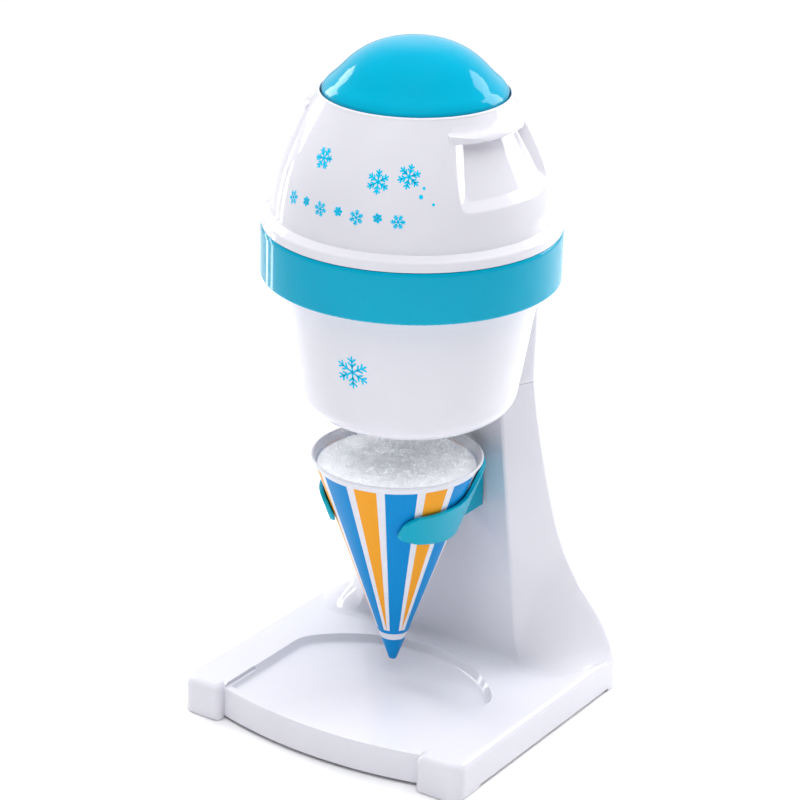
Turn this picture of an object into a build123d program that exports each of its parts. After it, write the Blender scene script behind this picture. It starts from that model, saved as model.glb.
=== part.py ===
from build123d import *
import os
from math import acos, cos, hypot, pi, radians, sin, sqrt, tan

os.makedirs("parts", exist_ok=True)

# Table-top shaved ice machine. Millimetres, +Z up, -Y is the front where the cone is put in.
# The origin is on the bowl's axis, at the surface the machine stands on.

# ---------------------------------------------------------------- driving dimensions
WALL = 2.5                 # moulded shells
FIT = 0.3                  # gap between separate mouldings

BASE_WIDTH = 173.4
BASE_DEPTH = 166.8
RAIL_TOP = 20.0            # top of the side rails and of the deck behind the tray
RAIL_INNER = 61.5          # half the width between the rails
RAIL_FRONT = -80.0
SKIRT_Z = 2.0              # lower edge of the base skirt between its corner pads
PAD_Z = 0.5                # lower edge of the corner pads
RAIL_CORNER = 9.0
TRAY_FLOOR = 15.8
TRAY_LIP = 18.0
TRAY_LIP_WIDTH = 5.0
TRAY_CORNER_Y = -75.0      # where the bowed front edge meets the rails
RECESS_RADIUS = 73.6
RECESS_CENTRE_Y = -48.6
RECESS_CORNER = 14.0       # where the tray's sides run into its rear arc
RECESS_SLOPE = 32.0        # degrees the tray's walls lean outwards

SEAM_Z = 174.0             # joint between the lower column and the upper housing
COLUMN_SAG = 4.5           # hollow of the column's front face
COLUMN_REAR_CORNER = 10.0

COLLAR_BOTTOM = 241.0
COLLAR_TOP = 267.6
COLLAR_RADIUS = 76.2
COLLAR_WALL = 2.6

CHUTE_RADIUS = 37.0
CHUTE_WALL = 1.6
CHUTE_BOTTOM = 148.0

CONE_Y = -9.0              # axis of the paper cone
CONE_RIM_RADIUS = 44.5
CONE_RIM_Z = 144.8
CONE_TIP_Z = 26.2
CONE_TIP_RADIUS = 1.8
PAPER = 0.6

HEAD_FLOOR_Z = 264.5
HEAD_FLOOR_TOP = 267.5
HEAD_FLANGE_Z = 268.0
GRIP_FRONT = -36.0         # ends of the right grip pocket, degrees from +X
GRIP_REAR = 24.0
GRIP_LOW = 294.0
GRIP_HIGH = 324.6
GRIP_WALL_LEAN = 50.0      # degrees the pocket's end walls lean outwards
LIP_CENTRE = 16.0          # cylinder that limits the grip lips
LIP_RADIUS = 41.3
LEDGE_Z = 322.0            # ledge under the push cap
LEDGE_TOP = 324.5
WELL_RADIUS = 47.1
CAP_TOP = 361.7
CAP_RADIUS = 46.3
CAP_SEAT_Z = 337.0
CAP_WALL = 2.2
CAP_TRAVEL = 4.0

DRIVE_RADIUS = 4.0
DRIVE_MODULE = 1.5
DRIVE_TEETH = 40
IDLER_SMALL_TEETH = 10
MOTOR_MODULE = 1.25
IDLER_LARGE_TEETH = 32
PINION_TEETH = 10
PRESSURE_ANGLE = radians(25)
IDLER_Y = DRIVE_MODULE * (DRIVE_TEETH + IDLER_SMALL_TEETH) / 2
MOTOR_Y = IDLER_Y - MOTOR_MODULE * (IDLER_LARGE_TEETH + PINION_TEETH) / 2
MOTOR_RADIUS = 19.0
RUNNING = 0.05             # radial clearance of a running fit


# ---------------------------------------------------------------- shared outlines
# Rows of the column: height, half width and Y of the front edges, X and Y of the flank's
# control point, half width and Y of the rear.
COLUMN_ROWS = [
    (8.0, 57.0, 27.5, 84.5, 21.0, 86.3, 83.2),
    (20.0, 56.0, 28.0, 84.0, 22.0, 86.3, 83.1),
    (21.0, 54.2, 31.0, 81.6, 26.0, 86.1, 83.0),
    (23.0, 52.4, 33.2, 78.0, 31.0, 85.6, 82.9),
    (26.5, 50.5, 34.2, 74.0, 37.0, 84.3, 82.7),
    (34.0, 48.3, 34.6, 69.5, 44.0, 81.3, 81.8),
    (46.0, 46.6, 35.0, 62.6, 49.0, 74.8, 79.6),
    (57.0, 45.6, 35.0, 57.4, 50.0, 67.6, 77.6),
    (68.0, 44.7, 35.0, 53.4, 50.0, 61.8, 75.4),
    (82.0, 43.3, 35.0, 50.0, 49.0, 56.9, 72.8),
    (98.0, 41.5, 35.0, 46.9, 48.0, 53.2, 70.2),
    (124.0, 38.6, 35.0, 43.5, 46.0, 48.9, 67.0),
    (152.0, 35.7, 35.0, 39.8, 44.5, 44.6, 64.4),
    (SEAM_Z, 34.2, 35.0, 38.2, 44.0, 42.2, 63.0),
]
NECK_ROWS = [
    (SEAM_Z + FIT, 34.2, 35.0, 38.2, 44.0, 42.2, 63.0),
    (COLLAR_BOTTOM, 34.6, 35.0, 37.2, 46.5, 39.8, 68.6),
]
FLARE_LEVELS = [8.0, 19.0, 20.0, 20.5, 21.2, 22.2, 23.5, 25.0] + [27.0 + 3.5 * i for i in range(12)]
COLUMN_LEVELS = FLARE_LEVELS + [76.0, 88.0, 102.0, 120.0, 138.0, 156.0, SEAM_Z]


def column_row(z):
    """The column's section at height z, on a smooth curve through the driving rows."""
    rows = COLUMN_ROWS
    i = 0
    while i < len(rows) - 2 and rows[i + 1][0] < z:
        i += 1
    before = rows[max(i - 1, 0)]
    low = rows[i]
    high = rows[i + 1]
    after = rows[min(i + 2, len(rows) - 1)]
    span = high[0] - low[0]
    t = (z - low[0]) / span
    row = [z]
    for k in range(1, len(low)):
        slope_low = (high[k] - before[k]) / (high[0] - before[0]) * span
        slope_high = (after[k] - low[k]) / (after[0] - low[0]) * span
        row.append((2 * t**3 - 3 * t**2 + 1) * low[k] + (t**3 - 2 * t**2 + t) * slope_low
                   + (3 * t**2 - 2 * t**3) * high[k] + (t**3 - t**2) * slope_high)
    return row


def column_outline(row, inset=0.0):
    """Outline of the column at one row, moved in by the wall where inset is given."""
    _, front_half, front_y, control_x, control_y, rear_half, rear_y = row
    corner = COLUMN_REAR_CORNER - inset
    a = front_half - inset * 1.15
    fy = front_y + inset
    b = rear_half - inset
    ry = rear_y - inset
    c = (control_x - inset * 1.1, control_y + inset * 0.3)
    s = corner * (1 - sqrt(0.5))
    with BuildLine() as outline:
        ThreePointArc((-a, fy), (0, fy + COLUMN_SAG), (a, fy))
        Bezier((a, fy), c, (b, ry - corner))
        ThreePointArc((b, ry - corner), (b - s, ry - s), (b - corner, ry))
        Line((b - corner, ry), (corner - b, ry))
        ThreePointArc((corner - b, ry), (s - b, ry - s), (-b, ry - corner))
        Bezier((-b, ry - corner), (-c[0], c[1]), (-a, fy))
    return outline.line


def base_outline():
    """Outline of the base: two rails with a bowed tray front between them."""
    x = BASE_WIDTH / 2
    y = BASE_DEPTH / 2
    with BuildLine() as outline:
        ThreePointArc((-RAIL_INNER, TRAY_CORNER_Y), (0, -y), (RAIL_INNER, TRAY_CORNER_Y))
        Polyline((RAIL_INNER, TRAY_CORNER_Y), (RAIL_INNER, RAIL_FRONT), (x, RAIL_FRONT), (x, y),
                 (-x, y), (-x, RAIL_FRONT), (-RAIL_INNER, RAIL_FRONT), (-RAIL_INNER, TRAY_CORNER_Y))
    return outline.line


def base_face(inset=0.0):
    """The base's outline as a face with rounded corners, moved in by inset."""
    with BuildSketch() as face:
        add(base_outline())
        make_face()
        rear = face.vertices().group_by(Axis.Y)[-1]
        fillet(rear, COLUMN_REAR_CORNER)
        front = face.vertices().filter_by(lambda v: abs(abs(v.X) - BASE_WIDTH / 2) < 0.1 and v.Y < -70)
        fillet(front, RAIL_CORNER)
        inner = face.vertices().filter_by(lambda v: abs(abs(v.X) - RAIL_INNER) < 0.1 and v.Y < -78)
        fillet(inner, 3)
        if inset:
            offset(amount=-inset, mode=Mode.REPLACE)
    return face.sketch


def recess_face(grow=0.0):
    """Footprint of the drip tray: straight beside the rails, a wide arc at the rear."""
    half = RAIL_INNER - 3.0 + grow
    front = TRAY_LIP_WIDTH - grow
    y = BASE_DEPTH / 2
    with BuildSketch() as face:
        with Locations((0, RECESS_CENTRE_Y)):
            Circle(RECESS_RADIUS - 2.0 + grow)
        with BuildSketch(mode=Mode.INTERSECT):
            with BuildLine():
                ThreePointArc((-half, TRAY_CORNER_Y + front), (0, front - y), (half, TRAY_CORNER_Y + front))
                Polyline((half, TRAY_CORNER_Y + front), (half, y), (-half, y), (-half, TRAY_CORNER_Y + front))
            make_face()
        fillet(face.vertices().filter_by(lambda v: v.Y > RECESS_CENTRE_Y), RECESS_CORNER + grow)
    return face.sketch


def inset_points(points, depth):
    """Points of a profile (radius, height) moved to its inner side by depth."""
    moved = []
    last = len(points) - 1
    for i, (r, z) in enumerate(points):
        before = points[max(i - 1, 0)]
        after = points[min(i + 1, last)]
        dr = after[0] - before[0]
        dz = after[1] - before[1]
        length = hypot(dr, dz)
        moved.append((r - depth * dz / length, z + depth * dr / length))
    return moved


# Outer profile of the bowl, from its flat bottom to the flare under the collar (radius, height).
BOWL_BOTTOM = (24.0, 163.7)
BOWL_CURVE = [BOWL_BOTTOM, (40.3, 166.1), (52.1, 172.6), (56.4, 181.5)]
BOWL_SIDE = [(56.4, 181.5), (60.0, 203.8), (63.7, 226.0), (66.6, COLLAR_BOTTOM)]


def bowl_solid(grow=0.0, top=COLLAR_BOTTOM):
    """Solid of revolution inside the bowl's outer skin, grown by grow (negative for the inside)."""
    curve = inset_points(BOWL_CURVE + BOWL_SIDE[1:], -grow)
    first = (curve[0][0], BOWL_BOTTOM[1] - grow)
    lower = [first] + curve[1:4]
    upper = curve[3:]
    outline = [upper[-1], (upper[-1][0], top), (0, top), (0, first[1])]
    if abs(top - upper[-1][1]) < 0.01:
        del outline[1]
    with BuildPart() as solid:
        with BuildSketch(Plane.XZ):
            with BuildLine():
                Line((0, first[1]), first)
                Spline(*lower, tangents=[(1, 0), (0.16, 1)])
                Spline(*upper, tangents=[(0.16, 1), (0.2, 1)])
                Polyline(*outline)
            make_face()
        revolve(axis=Axis.Z)
    return solid.part


def spur_gear_outline(teeth, module, first_tooth):
    """Closed outline of a spur gear with involute flanks; first_tooth is the angle of one tooth."""
    pitch = module * teeth / 2
    base = pitch * cos(PRESSURE_ANGLE)
    tip = pitch + 0.85 * module
    root = pitch - 1.1 * module
    backlash = 0.10 * module
    half_at_pitch = (pi * module / 2 - backlash) / 2 / pitch
    involute_at_pitch = tan(PRESSURE_ANGLE) - PRESSURE_ANGLE
    flank = []
    steps = 4
    start = max(base, root)
    for k in range(steps + 1):
        r = start + (tip - start) * k / steps
        a = acos(min(1.0, base / r))
        flank.append((r, half_at_pitch + involute_at_pitch - (tan(a) - a)))
    if root < base:
        flank.insert(0, (root, flank[0][1]))
    points = []
    for t in range(teeth):
        centre = first_tooth + 2 * pi * t / teeth
        for r, half in flank:
            points.append((r * cos(centre - half), r * sin(centre - half)))
        for r, half in reversed(flank):
            points.append((r * cos(centre + half), r * sin(centre + half)))
    return points


def ring_points(radius, count, start=0.0):
    """Points on a circle about the machine's axis."""
    return [(radius * cos(start + 2 * pi * i / count), radius * sin(start + 2 * pi * i / count))
            for i in range(count)]


# ---------------------------------------------------------------- stand: base and lower column
PLATE_SCREWS = [(74.6, -46.0), (-74.6, -46.0), (74.6, 12.0), (-74.6, 12.0), (58.0, 77.0), (-58.0, 77.0)]
FOOT_PLACES = [(74.4, -66.0), (-74.4, -66.0), (72.0, 68.0), (-72.0, 68.0)]
NECK_SCREWS = [(34.0, 51.5), (-34.0, 51.5)]
HOLDER_SCREWS = [(-13.0, 120.0), (13.0, 120.0)]
ROOF = RAIL_TOP - WALL
BOSS_RADIUS = 3.6
SCREW_HOLE = 1.45
SCREW_SHANK = 1.4
PLATE_Z = 2.6
PLATE_THICKNESS = 2.0
FOOT_RADIUS = 7.5
FOOT_STEM = 2.5
COLLAR_WEB = 2.4
HOPPER_BOTTOM = 180.0
HOPPER_TOP = 262.0
HOPPER_LIP_RADIUS = 43.0
HOPPER_FOOT = 52.4
HOPPER_TUBE = 63.0
HOPPER_WALL = 1.8
HOPPER_RIBS = 6
KEY_WIDTH = 8.0
BLADE_PLATE_RADIUS = 49.5
BLADE_PLATE_THICKNESS = 1.2
BLADE_LENGTH = 34.0
BLADE_X = 23.0
BLADE_SLOT = 9.0
BLADE_SEAT = 9.0
BLADE_SCREW_X = [13.0, 33.0]
ICE_RADIUS = 42.2
ICE_EDGE_Z = 140.4
ICE_TOP_Z = 146.8
HEAD_SCREW_RADIUS = 62.5
SPIGOT_BOTTOM = 255.0
SPIGOT_RADIUS = 60.6
BUSH_RADIUS = 6.5
GEARBOX_TOP_OF_FLOOR = 269.5
INLET_Z = 290.0
INLET_RADIUS = 5.0
INLET_FACE = 70.0
LEDGE_OPENING = 34.0
GEARBOX_SCREWS = [(27.5, 36.5), (-27.5, 36.5), (33.5, -15.0), (-33.5, -15.0)]
DRIVE_CASE_RADIUS = 34.3
IDLER_CASE_RADIUS = 24.3
IDLER_PIN_RADIUS = 2.5
IDLER_LEVEL = 279.0
DRIVE_LEVEL = 270.5
COVER_Z = 288.0
COVER_THICKNESS = 2.5
COVER_TOP = COVER_Z + COVER_THICKNESS
MOTOR_BOSS_RADIUS = 6.5
MOTOR_BORE = 1.65
MOTOR_CAN_TOP = 323.0
MOTOR_SCREWS = [(-10.5, MOTOR_Y), (10.5, MOTOR_Y)]
PINION_Z = 279.2
IMPELLER_BOTTOM = 184.3
VANE_RADIUS = 46.3
VANE_HEIGHT = 19.0
NUT_HEIGHT = 3.4
SWITCH_TOP = 324.0
SWITCH_BACK = -31.6
SWITCH_SCREWS = [(-6.5, 308.5), (6.5, 308.5)]
BRACKET = 1.6
BRACKET_SCREWS = [(-6.0, -25.5), (6.0, -25.5)]
PLUNGER_RADIUS = 2.2
CAP_SKIRT = 332.5
SPRING_TOP = 339.4
SPRING_CIRCLE = 37.6
SPRING_RADIUS = 2.8
SPRING_WIRE = 0.4
SPRING_TURNS = 5
SWITCH_Y = -24.0
PLUNGER_TOP = 331.0
HOLDER_LOW = 105.0
HOLDER_HIGH = 141.0
HOLDER_TIP_Y = -37.5
HOLDER_THICKNESS = 2.4



with BuildPart() as column_hollow:
    for z in COLUMN_LEVELS[::2]:
        drop = WALL * (1.7 if z < 60 else 1.0)
        with BuildSketch(Plane.XY.offset(z - drop)):
            add(column_outline(column_row(z), WALL))
            make_face()
    loft(ruled=True)
    add(bowl_solid(FIT + WALL, top=COLLAR_TOP), mode=Mode.SUBTRACT)

with BuildPart() as stand_shell:
    with BuildSketch(Plane.XY.offset(SKIRT_Z)):
        add(base_face())
    extrude(amount=RAIL_TOP - SKIRT_Z)
    fillet(stand_shell.edges().group_by(Axis.Z)[-1], 4.0)
    with BuildSketch(Plane.XY.offset(TRAY_LIP)):
        with Locations((0, -BASE_DEPTH / 2)):
            Rectangle(2 * RAIL_INNER, 2 * (BASE_DEPTH / 2 + RECESS_CENTRE_Y))
    extrude(amount=RAIL_TOP, mode=Mode.SUBTRACT)
    with BuildSketch(Plane.XY.offset(TRAY_FLOOR)):
        add(recess_face())
    extrude(amount=RAIL_TOP - TRAY_FLOOR + 0.2, taper=-RECESS_SLOPE, mode=Mode.SUBTRACT)
    fillet(stand_shell.edges().filter_by(lambda e: abs(e.center().Z - TRAY_FLOOR) < 0.05), 2.0)
    # corner pads below the skirt
    with BuildSketch(Plane.XY.offset(PAD_Z)):
        add(base_face())
        with Locations((0, -BASE_DEPTH / 2)):
            Rectangle(2 * RAIL_INNER, 2 * BASE_DEPTH, mode=Mode.SUBTRACT)
        with Locations((0, 6)):
            Rectangle(2 * BASE_WIDTH, 128, mode=Mode.SUBTRACT)
        with Locations((0, BASE_DEPTH / 2)):
            Rectangle(2 * RAIL_INNER, 60, mode=Mode.SUBTRACT)
    extrude(amount=SKIRT_Z - PAD_Z)
    # column
    for z in COLUMN_LEVELS:
        with BuildSketch(Plane.XY.offset(z)) as section:
            add(column_outline(column_row(z)))
            make_face()
            fillet(section.vertices().group_by(Axis.Y)[0], 2.0)
    loft(ruled=True)
    add(bowl_solid(FIT, top=COLLAR_TOP), mode=Mode.SUBTRACT)
    # hollow underside: under the tray, in the rails and up the column
    with BuildSketch(Plane.XY.offset(-1)):
        add(base_face(WALL))
    extrude(amount=TRAY_FLOOR - WALL + 1, mode=Mode.SUBTRACT)
    with BuildSketch(Plane.XY.offset(TRAY_FLOOR - WALL)):
        add(base_face(WALL))
        add(recess_face(WALL + 1.4), mode=Mode.SUBTRACT)
        with Locations((0, -BASE_DEPTH / 2)):
            Rectangle(2 * (RAIL_INNER + WALL), 2 * 20, mode=Mode.SUBTRACT)
    extrude(amount=WALL + RAIL_TOP - TRAY_FLOOR - WALL, mode=Mode.SUBTRACT)
    add(column_hollow.part, mode=Mode.SUBTRACT)
    # screw bosses
    with BuildSketch(Plane.XY.offset(4.6)):
        with Locations(*PLATE_SCREWS):
            Circle(BOSS_RADIUS)
            Circle(SCREW_HOLE, mode=Mode.SUBTRACT)
    extrude(amount=ROOF - 4.6 + 0.5)
    with BuildSketch(Plane.XY.offset(SEAM_Z - 8)):
        with Locations(*NECK_SCREWS):
            Circle(BOSS_RADIUS)
    extrude(amount=8)
    with BuildSketch(Plane.XY.offset(SEAM_Z - 9)):
        with Locations(*NECK_SCREWS):
            Circle(SCREW_HOLE + 0.2)
    extrude(amount=12, mode=Mode.SUBTRACT)
    # holes for the cone holder's screws through the front wall
    with BuildSketch(Plane.XZ.offset(-50)):
        with Locations(*HOLDER_SCREWS):
            Circle(SCREW_HOLE + 0.2)
    extrude(amount=30, mode=Mode.SUBTRACT)
stand_shell.part.label = "stand_shell"
export_step(stand_shell.part, "parts/stand_shell.step")

with BuildPart() as base_plate:
    with BuildSketch(Plane.XY.offset(PLATE_Z)):
        add(base_face(WALL + 0.4))
        with Locations(*PLATE_SCREWS):
            Circle(SCREW_HOLE + 0.3, mode=Mode.SUBTRACT)
        with Locations(*FOOT_PLACES):
            Circle(FOOT_STEM + 0.1, mode=Mode.SUBTRACT)
    extrude(amount=PLATE_THICKNESS)
    # vent slots under the column
    with BuildSketch(Plane.XY.offset(PLATE_Z)):
        with GridLocations(0, 8, 1, 4):
            SlotOverall(60, 3)
    extrude(amount=PLATE_THICKNESS, mode=Mode.SUBTRACT)
base_plate.part.label = "base_plate"
export_step(base_plate.part, "parts/base_plate.step")

with BuildPart() as rubber_feet:
    with BuildSketch(Plane.XY):
        with Locations(*FOOT_PLACES):
            Circle(FOOT_RADIUS)
    extrude(amount=PLATE_Z)
    chamfer(rubber_feet.edges().group_by(Axis.Z)[0], 0.6)
    with BuildSketch(Plane.XY.offset(PLATE_Z)):
        with Locations(*FOOT_PLACES):
            Circle(FOOT_STEM)
    extrude(amount=PLATE_THICKNESS)
    with BuildSketch(Plane.XY.offset(PLATE_Z + PLATE_THICKNESS)):
        with Locations(*FOOT_PLACES):
            Circle(FOOT_STEM + 1)
    extrude(amount=1.2, taper=25)
rubber_feet.part.label = "rubber_feet"
export_step(rubber_feet.part, "parts/rubber_feet.step")


def screw_profile(head_radius, head_height, shank_radius, length):
    """Half section of a pan-head screw, head at the origin, shank along +Y of the sketch."""
    with BuildLine() as half:
        Line((0, -head_height), (head_radius * 0.55, -head_height))
        ThreePointArc((head_radius * 0.55, -head_height), (head_radius * 0.9, -head_height * 0.7),
                      (head_radius, -head_height * 0.15))
        Polyline((head_radius, -head_height * 0.15), (head_radius, 0), (shank_radius, 0),
                 (shank_radius, length - 1.2), (0.3, length), (0, length), (0, -head_height))
    return half.line


def screw(head_radius=2.8, head_height=2.0, shank_radius=SCREW_SHANK, length=12.0):
    """Pan-head screw pointing up, its head seated at z = 0, with a cross recess."""
    with BuildPart() as body:
        with BuildSketch(Plane.XZ):
            add(screw_profile(head_radius, head_height, shank_radius, length))
            make_face()
        revolve(axis=Axis.Z)
        with BuildSketch(Plane.XY.offset(-head_height)):
            Rectangle(head_radius * 1.2, 0.6)
            Rectangle(0.6, head_radius * 1.2)
        extrude(amount=head_height * 0.5, mode=Mode.SUBTRACT)
    return body.part


with BuildPart() as base_screws:
    with Locations(*[(x, y, PLATE_Z) for x, y in PLATE_SCREWS]):
        add(screw(length=13.0, head_height=1.6))
base_screws.part.label = "base_screws"
export_step(base_screws.part, "parts/base_screws.step")

# ---------------------------------------------------------------- upper housing: bowl and neck
BOWL_RIM_TOP = 245.8
with BuildPart() as neck_hollow:
    for row in NECK_ROWS:
        lift = -1.0 if row[0] < 200 else -WALL
        with BuildSketch(Plane.XY.offset(row[0] + lift)):
            add(column_outline(row, WALL))
            make_face()
    loft(ruled=True)
    add(bowl_solid(0.0, top=COLLAR_TOP), mode=Mode.SUBTRACT)

with BuildPart() as upper_housing:
    for row in NECK_ROWS:
        with BuildSketch(Plane.XY.offset(row[0])) as section:
            add(column_outline(row))
            make_face()
            fillet(section.vertices().group_by(Axis.Y)[0], 2.0)
    loft(ruled=True)
    add(bowl_solid())
    with BuildSketch(Plane.XY.offset(COLLAR_BOTTOM)):
        Circle(BOWL_SIDE[-1][0])
    extrude(amount=2.7)
    with BuildSketch(Plane.XY.offset(COLLAR_BOTTOM + COLLAR_WEB + 0.1)):
        Circle(COLLAR_RADIUS - COLLAR_WALL - 0.6)
    extrude(amount=BOWL_RIM_TOP - COLLAR_BOTTOM - COLLAR_WEB - 0.1)
    add(bowl_solid(-WALL, top=COLLAR_TOP), mode=Mode.SUBTRACT)
    add(neck_hollow.part, mode=Mode.SUBTRACT)
    with BuildSketch(Plane.XY.offset(BOWL_BOTTOM[1] - 1)):
        Circle(CHUTE_RADIUS + 0.4)
    extrude(amount=10, mode=Mode.SUBTRACT)
    # bosses for the screws that come up from the column
    with BuildSketch(Plane.XY.offset(SEAM_Z + FIT)):
        with Locations(*NECK_SCREWS):
            Circle(BOSS_RADIUS + 1)
    extrude(amount=20)
    with BuildSketch(Plane.XY.offset(SEAM_Z)):
        with Locations(*NECK_SCREWS):
            Circle(SCREW_HOLE)
    extrude(amount=12, mode=Mode.SUBTRACT)
    add(bowl_solid(-WALL, top=COLLAR_TOP), mode=Mode.SUBTRACT)
upper_housing.part.label = "upper_housing"
export_step(upper_housing.part, "parts/upper_housing.step")

with BuildPart() as neck_screws:
    with Locations(*[(x, y, SEAM_Z - 8) for x, y in NECK_SCREWS]):
        add(screw(length=17.0))
neck_screws.part.label = "neck_screws"
export_step(neck_screws.part, "parts/neck_screws.step")

with BuildPart() as collar_ring:
    with BuildSketch(Plane.XZ) as section:
        with BuildLine():
            Polyline((BOWL_SIDE[-1][0] + 0.5, COLLAR_BOTTOM), (COLLAR_RADIUS, COLLAR_BOTTOM),
                     (COLLAR_RADIUS, COLLAR_TOP - 2.0), (COLLAR_RADIUS - 0.9, COLLAR_TOP),
                     (COLLAR_RADIUS - COLLAR_WALL, COLLAR_TOP),
                     (COLLAR_RADIUS - COLLAR_WALL, COLLAR_BOTTOM + COLLAR_WEB),
                     (BOWL_SIDE[-1][0] + 0.5, COLLAR_BOTTOM + COLLAR_WEB),
                     (BOWL_SIDE[-1][0] + 0.5, COLLAR_BOTTOM))
        make_face()
        outer = section.vertices().filter_by(lambda v: v.X > COLLAR_RADIUS - 0.1)
        fillet(outer.sort_by(Axis.Y)[0], 1.6)
        fillet(section.vertices().filter_by(lambda v: abs(v.X - COLLAR_RADIUS + 0.9) < 0.1), 0.6)
    revolve(axis=Axis.Z)
collar_ring.part.label = "collar_ring"
export_step(collar_ring.part, "parts/collar_ring.step")

# ---------------------------------------------------------------- ice hopper, blade and chute
with BuildPart() as ice_hopper:
    with BuildSketch(Plane.XZ):
        with BuildLine():
            Polyline((HOPPER_LIP_RADIUS, HOPPER_BOTTOM), (HOPPER_FOOT, HOPPER_BOTTOM), (HOPPER_TUBE, 243.0),
                     (HOPPER_TUBE, 246.2), (COLLAR_RADIUS - COLLAR_WALL - 0.6, 246.2),
                     (COLLAR_RADIUS - COLLAR_WALL - 0.6, 248.0), (HOPPER_TUBE, 248.0),
                     (HOPPER_TUBE, HOPPER_TOP), (HOPPER_TUBE - HOPPER_WALL, HOPPER_TOP),
                     (HOPPER_TUBE - HOPPER_WALL, 243.0), (HOPPER_FOOT - HOPPER_WALL, HOPPER_BOTTOM + 2),
                     (HOPPER_LIP_RADIUS, HOPPER_BOTTOM + 2), (HOPPER_LIP_RADIUS, HOPPER_BOTTOM))
        make_face()
    revolve(axis=Axis.Z)
    # ribs that keep the ice from turning with the impeller
    for i in range(HOPPER_RIBS):
        with BuildSketch(Plane.XZ.rotated((0, 0, 30 + i * 360 / HOPPER_RIBS)).offset(-1.2)):
            with BuildLine():
                Polyline((50.5, 207.0), (57.5, 207.0), (62.2, 238.0), (60.0, 242.0), (56.5, 240.0), (50.5, 207.0))
            make_face()
        extrude(amount=2.4)
    # notches for the head's keys
    with BuildSketch(Plane.XY.offset(HOPPER_TOP - 7)):
        Rectangle(2 * HOPPER_TUBE + 2, KEY_WIDTH + 1)
    extrude(amount=8, mode=Mode.SUBTRACT)
    with BuildSketch(Plane.XY.offset(HOPPER_BOTTOM)):
        with PolarLocations(BLADE_PLATE_RADIUS - 2.6, 3, start_angle=30):
            Circle(0.8)
    extrude(amount=2, mode=Mode.SUBTRACT)
ice_hopper.part.label = "ice_hopper"
export_step(ice_hopper.part, "parts/ice_hopper.step")

with BuildPart() as blade_plate:
    with BuildSketch(Plane.XY.offset(HOPPER_BOTTOM + 2)):
        Circle(BLADE_PLATE_RADIUS)
        with Locations((BLADE_X, 0)):
            Rectangle(BLADE_LENGTH, BLADE_SLOT, mode=Mode.SUBTRACT)
        with PolarLocations(BLADE_PLATE_RADIUS - 2.6, 3, start_angle=30):
            Circle(1.2, mode=Mode.SUBTRACT)
        with Locations(*[(x, -BLADE_SEAT) for x in BLADE_SCREW_X]):
            Circle(1.1, mode=Mode.SUBTRACT)
        # drain holes
        with PolarLocations(30, 7, start_angle=75, angular_range=210):
            Circle(1.5, mode=Mode.SUBTRACT)
    extrude(amount=BLADE_PLATE_THICKNESS)
blade_plate.part.label = "blade_plate"
export_step(blade_plate.part, "parts/blade_plate.step")

BLADE_PLATE_TOP = HOPPER_BOTTOM + 2 + BLADE_PLATE_THICKNESS
with BuildPart() as blade:
    # flat strip under the plate with its edge turned up through the slot
    with BuildSketch(Plane.YZ.offset(BLADE_X - BLADE_LENGTH / 2 + 1)):
        with BuildLine():
            Polyline((-BLADE_SEAT - 4, HOPPER_BOTTOM + 0.95), (-3.6, HOPPER_BOTTOM + 0.95),
                     (1.6, BLADE_PLATE_TOP + 0.55), (0.4, BLADE_PLATE_TOP + 0.75),
                     (-4.2, HOPPER_BOTTOM + 1.95), (-BLADE_SEAT - 4, HOPPER_BOTTOM + 1.95),
                     (-BLADE_SEAT - 4, HOPPER_BOTTOM + 0.95))
        make_face()
    extrude(amount=BLADE_LENGTH - 2)
    with BuildSketch(Plane.XY.offset(HOPPER_BOTTOM)):
        with Locations(*[(x, -BLADE_SEAT) for x in BLADE_SCREW_X]):
            Circle(1.1)
    extrude(amount=3, mode=Mode.SUBTRACT)
blade.part.label = "blade"
export_step(blade.part, "parts/blade.step")

with BuildPart() as blade_screws:
    with Locations(*[(x, -BLADE_SEAT, HOPPER_BOTTOM + 0.9) for x in BLADE_SCREW_X]):
        add(screw(head_radius=2.0, head_height=1.2, shank_radius=1.0, length=2.7))
blade_screws.part.label = "blade_screws"
export_step(blade_screws.part, "parts/blade_screws.step")

with BuildPart() as plate_screws:
    with PolarLocations(BLADE_PLATE_RADIUS - 2.6, 3, start_angle=30):
        with Locations((0, 0, BLADE_PLATE_TOP)):
            add(Rot(180, 0, 0) * screw(head_radius=1.7, head_height=0.6, shank_radius=0.75, length=3.6))
plate_screws.part.label = "plate_screws"
export_step(plate_screws.part, "parts/plate_screws.step")

with BuildPart() as chute:
    with BuildSketch(Plane.XZ) as section:
        with BuildLine():
            Polyline((CHUTE_RADIUS - CHUTE_WALL, CHUTE_BOTTOM), (CHUTE_RADIUS, CHUTE_BOTTOM),
                     (CHUTE_RADIUS, 169.2), (CHUTE_RADIUS + 3.4, 169.2), (CHUTE_RADIUS + 3.4, 170.6),
                     (CHUTE_RADIUS, 170.6), (CHUTE_RADIUS, HOPPER_BOTTOM - FIT),
                     (CHUTE_RADIUS - CHUTE_WALL, HOPPER_BOTTOM - FIT), (CHUTE_RADIUS - CHUTE_WALL, CHUTE_BOTTOM))
        make_face()
        fillet(section.vertices().group_by(Axis.Y)[0], 0.6)
    revolve(axis=Axis.Z)
chute.part.label = "chute"
export_step(chute.part, "parts/chute.step")

# ---------------------------------------------------------------- cone holder
CONE_SLOPE = (CONE_RIM_RADIUS - CONE_TIP_RADIUS) / (CONE_RIM_Z - CONE_TIP_Z)
CONE_AXIS = Axis((0, CONE_Y, 0), (0, 0, 1))
CONE_PLANE = Plane.XZ.offset(-CONE_Y)


def cone_radius(z):
    """Outer radius of the paper at height z."""
    return CONE_TIP_RADIUS + (z - CONE_TIP_Z) * CONE_SLOPE


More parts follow.
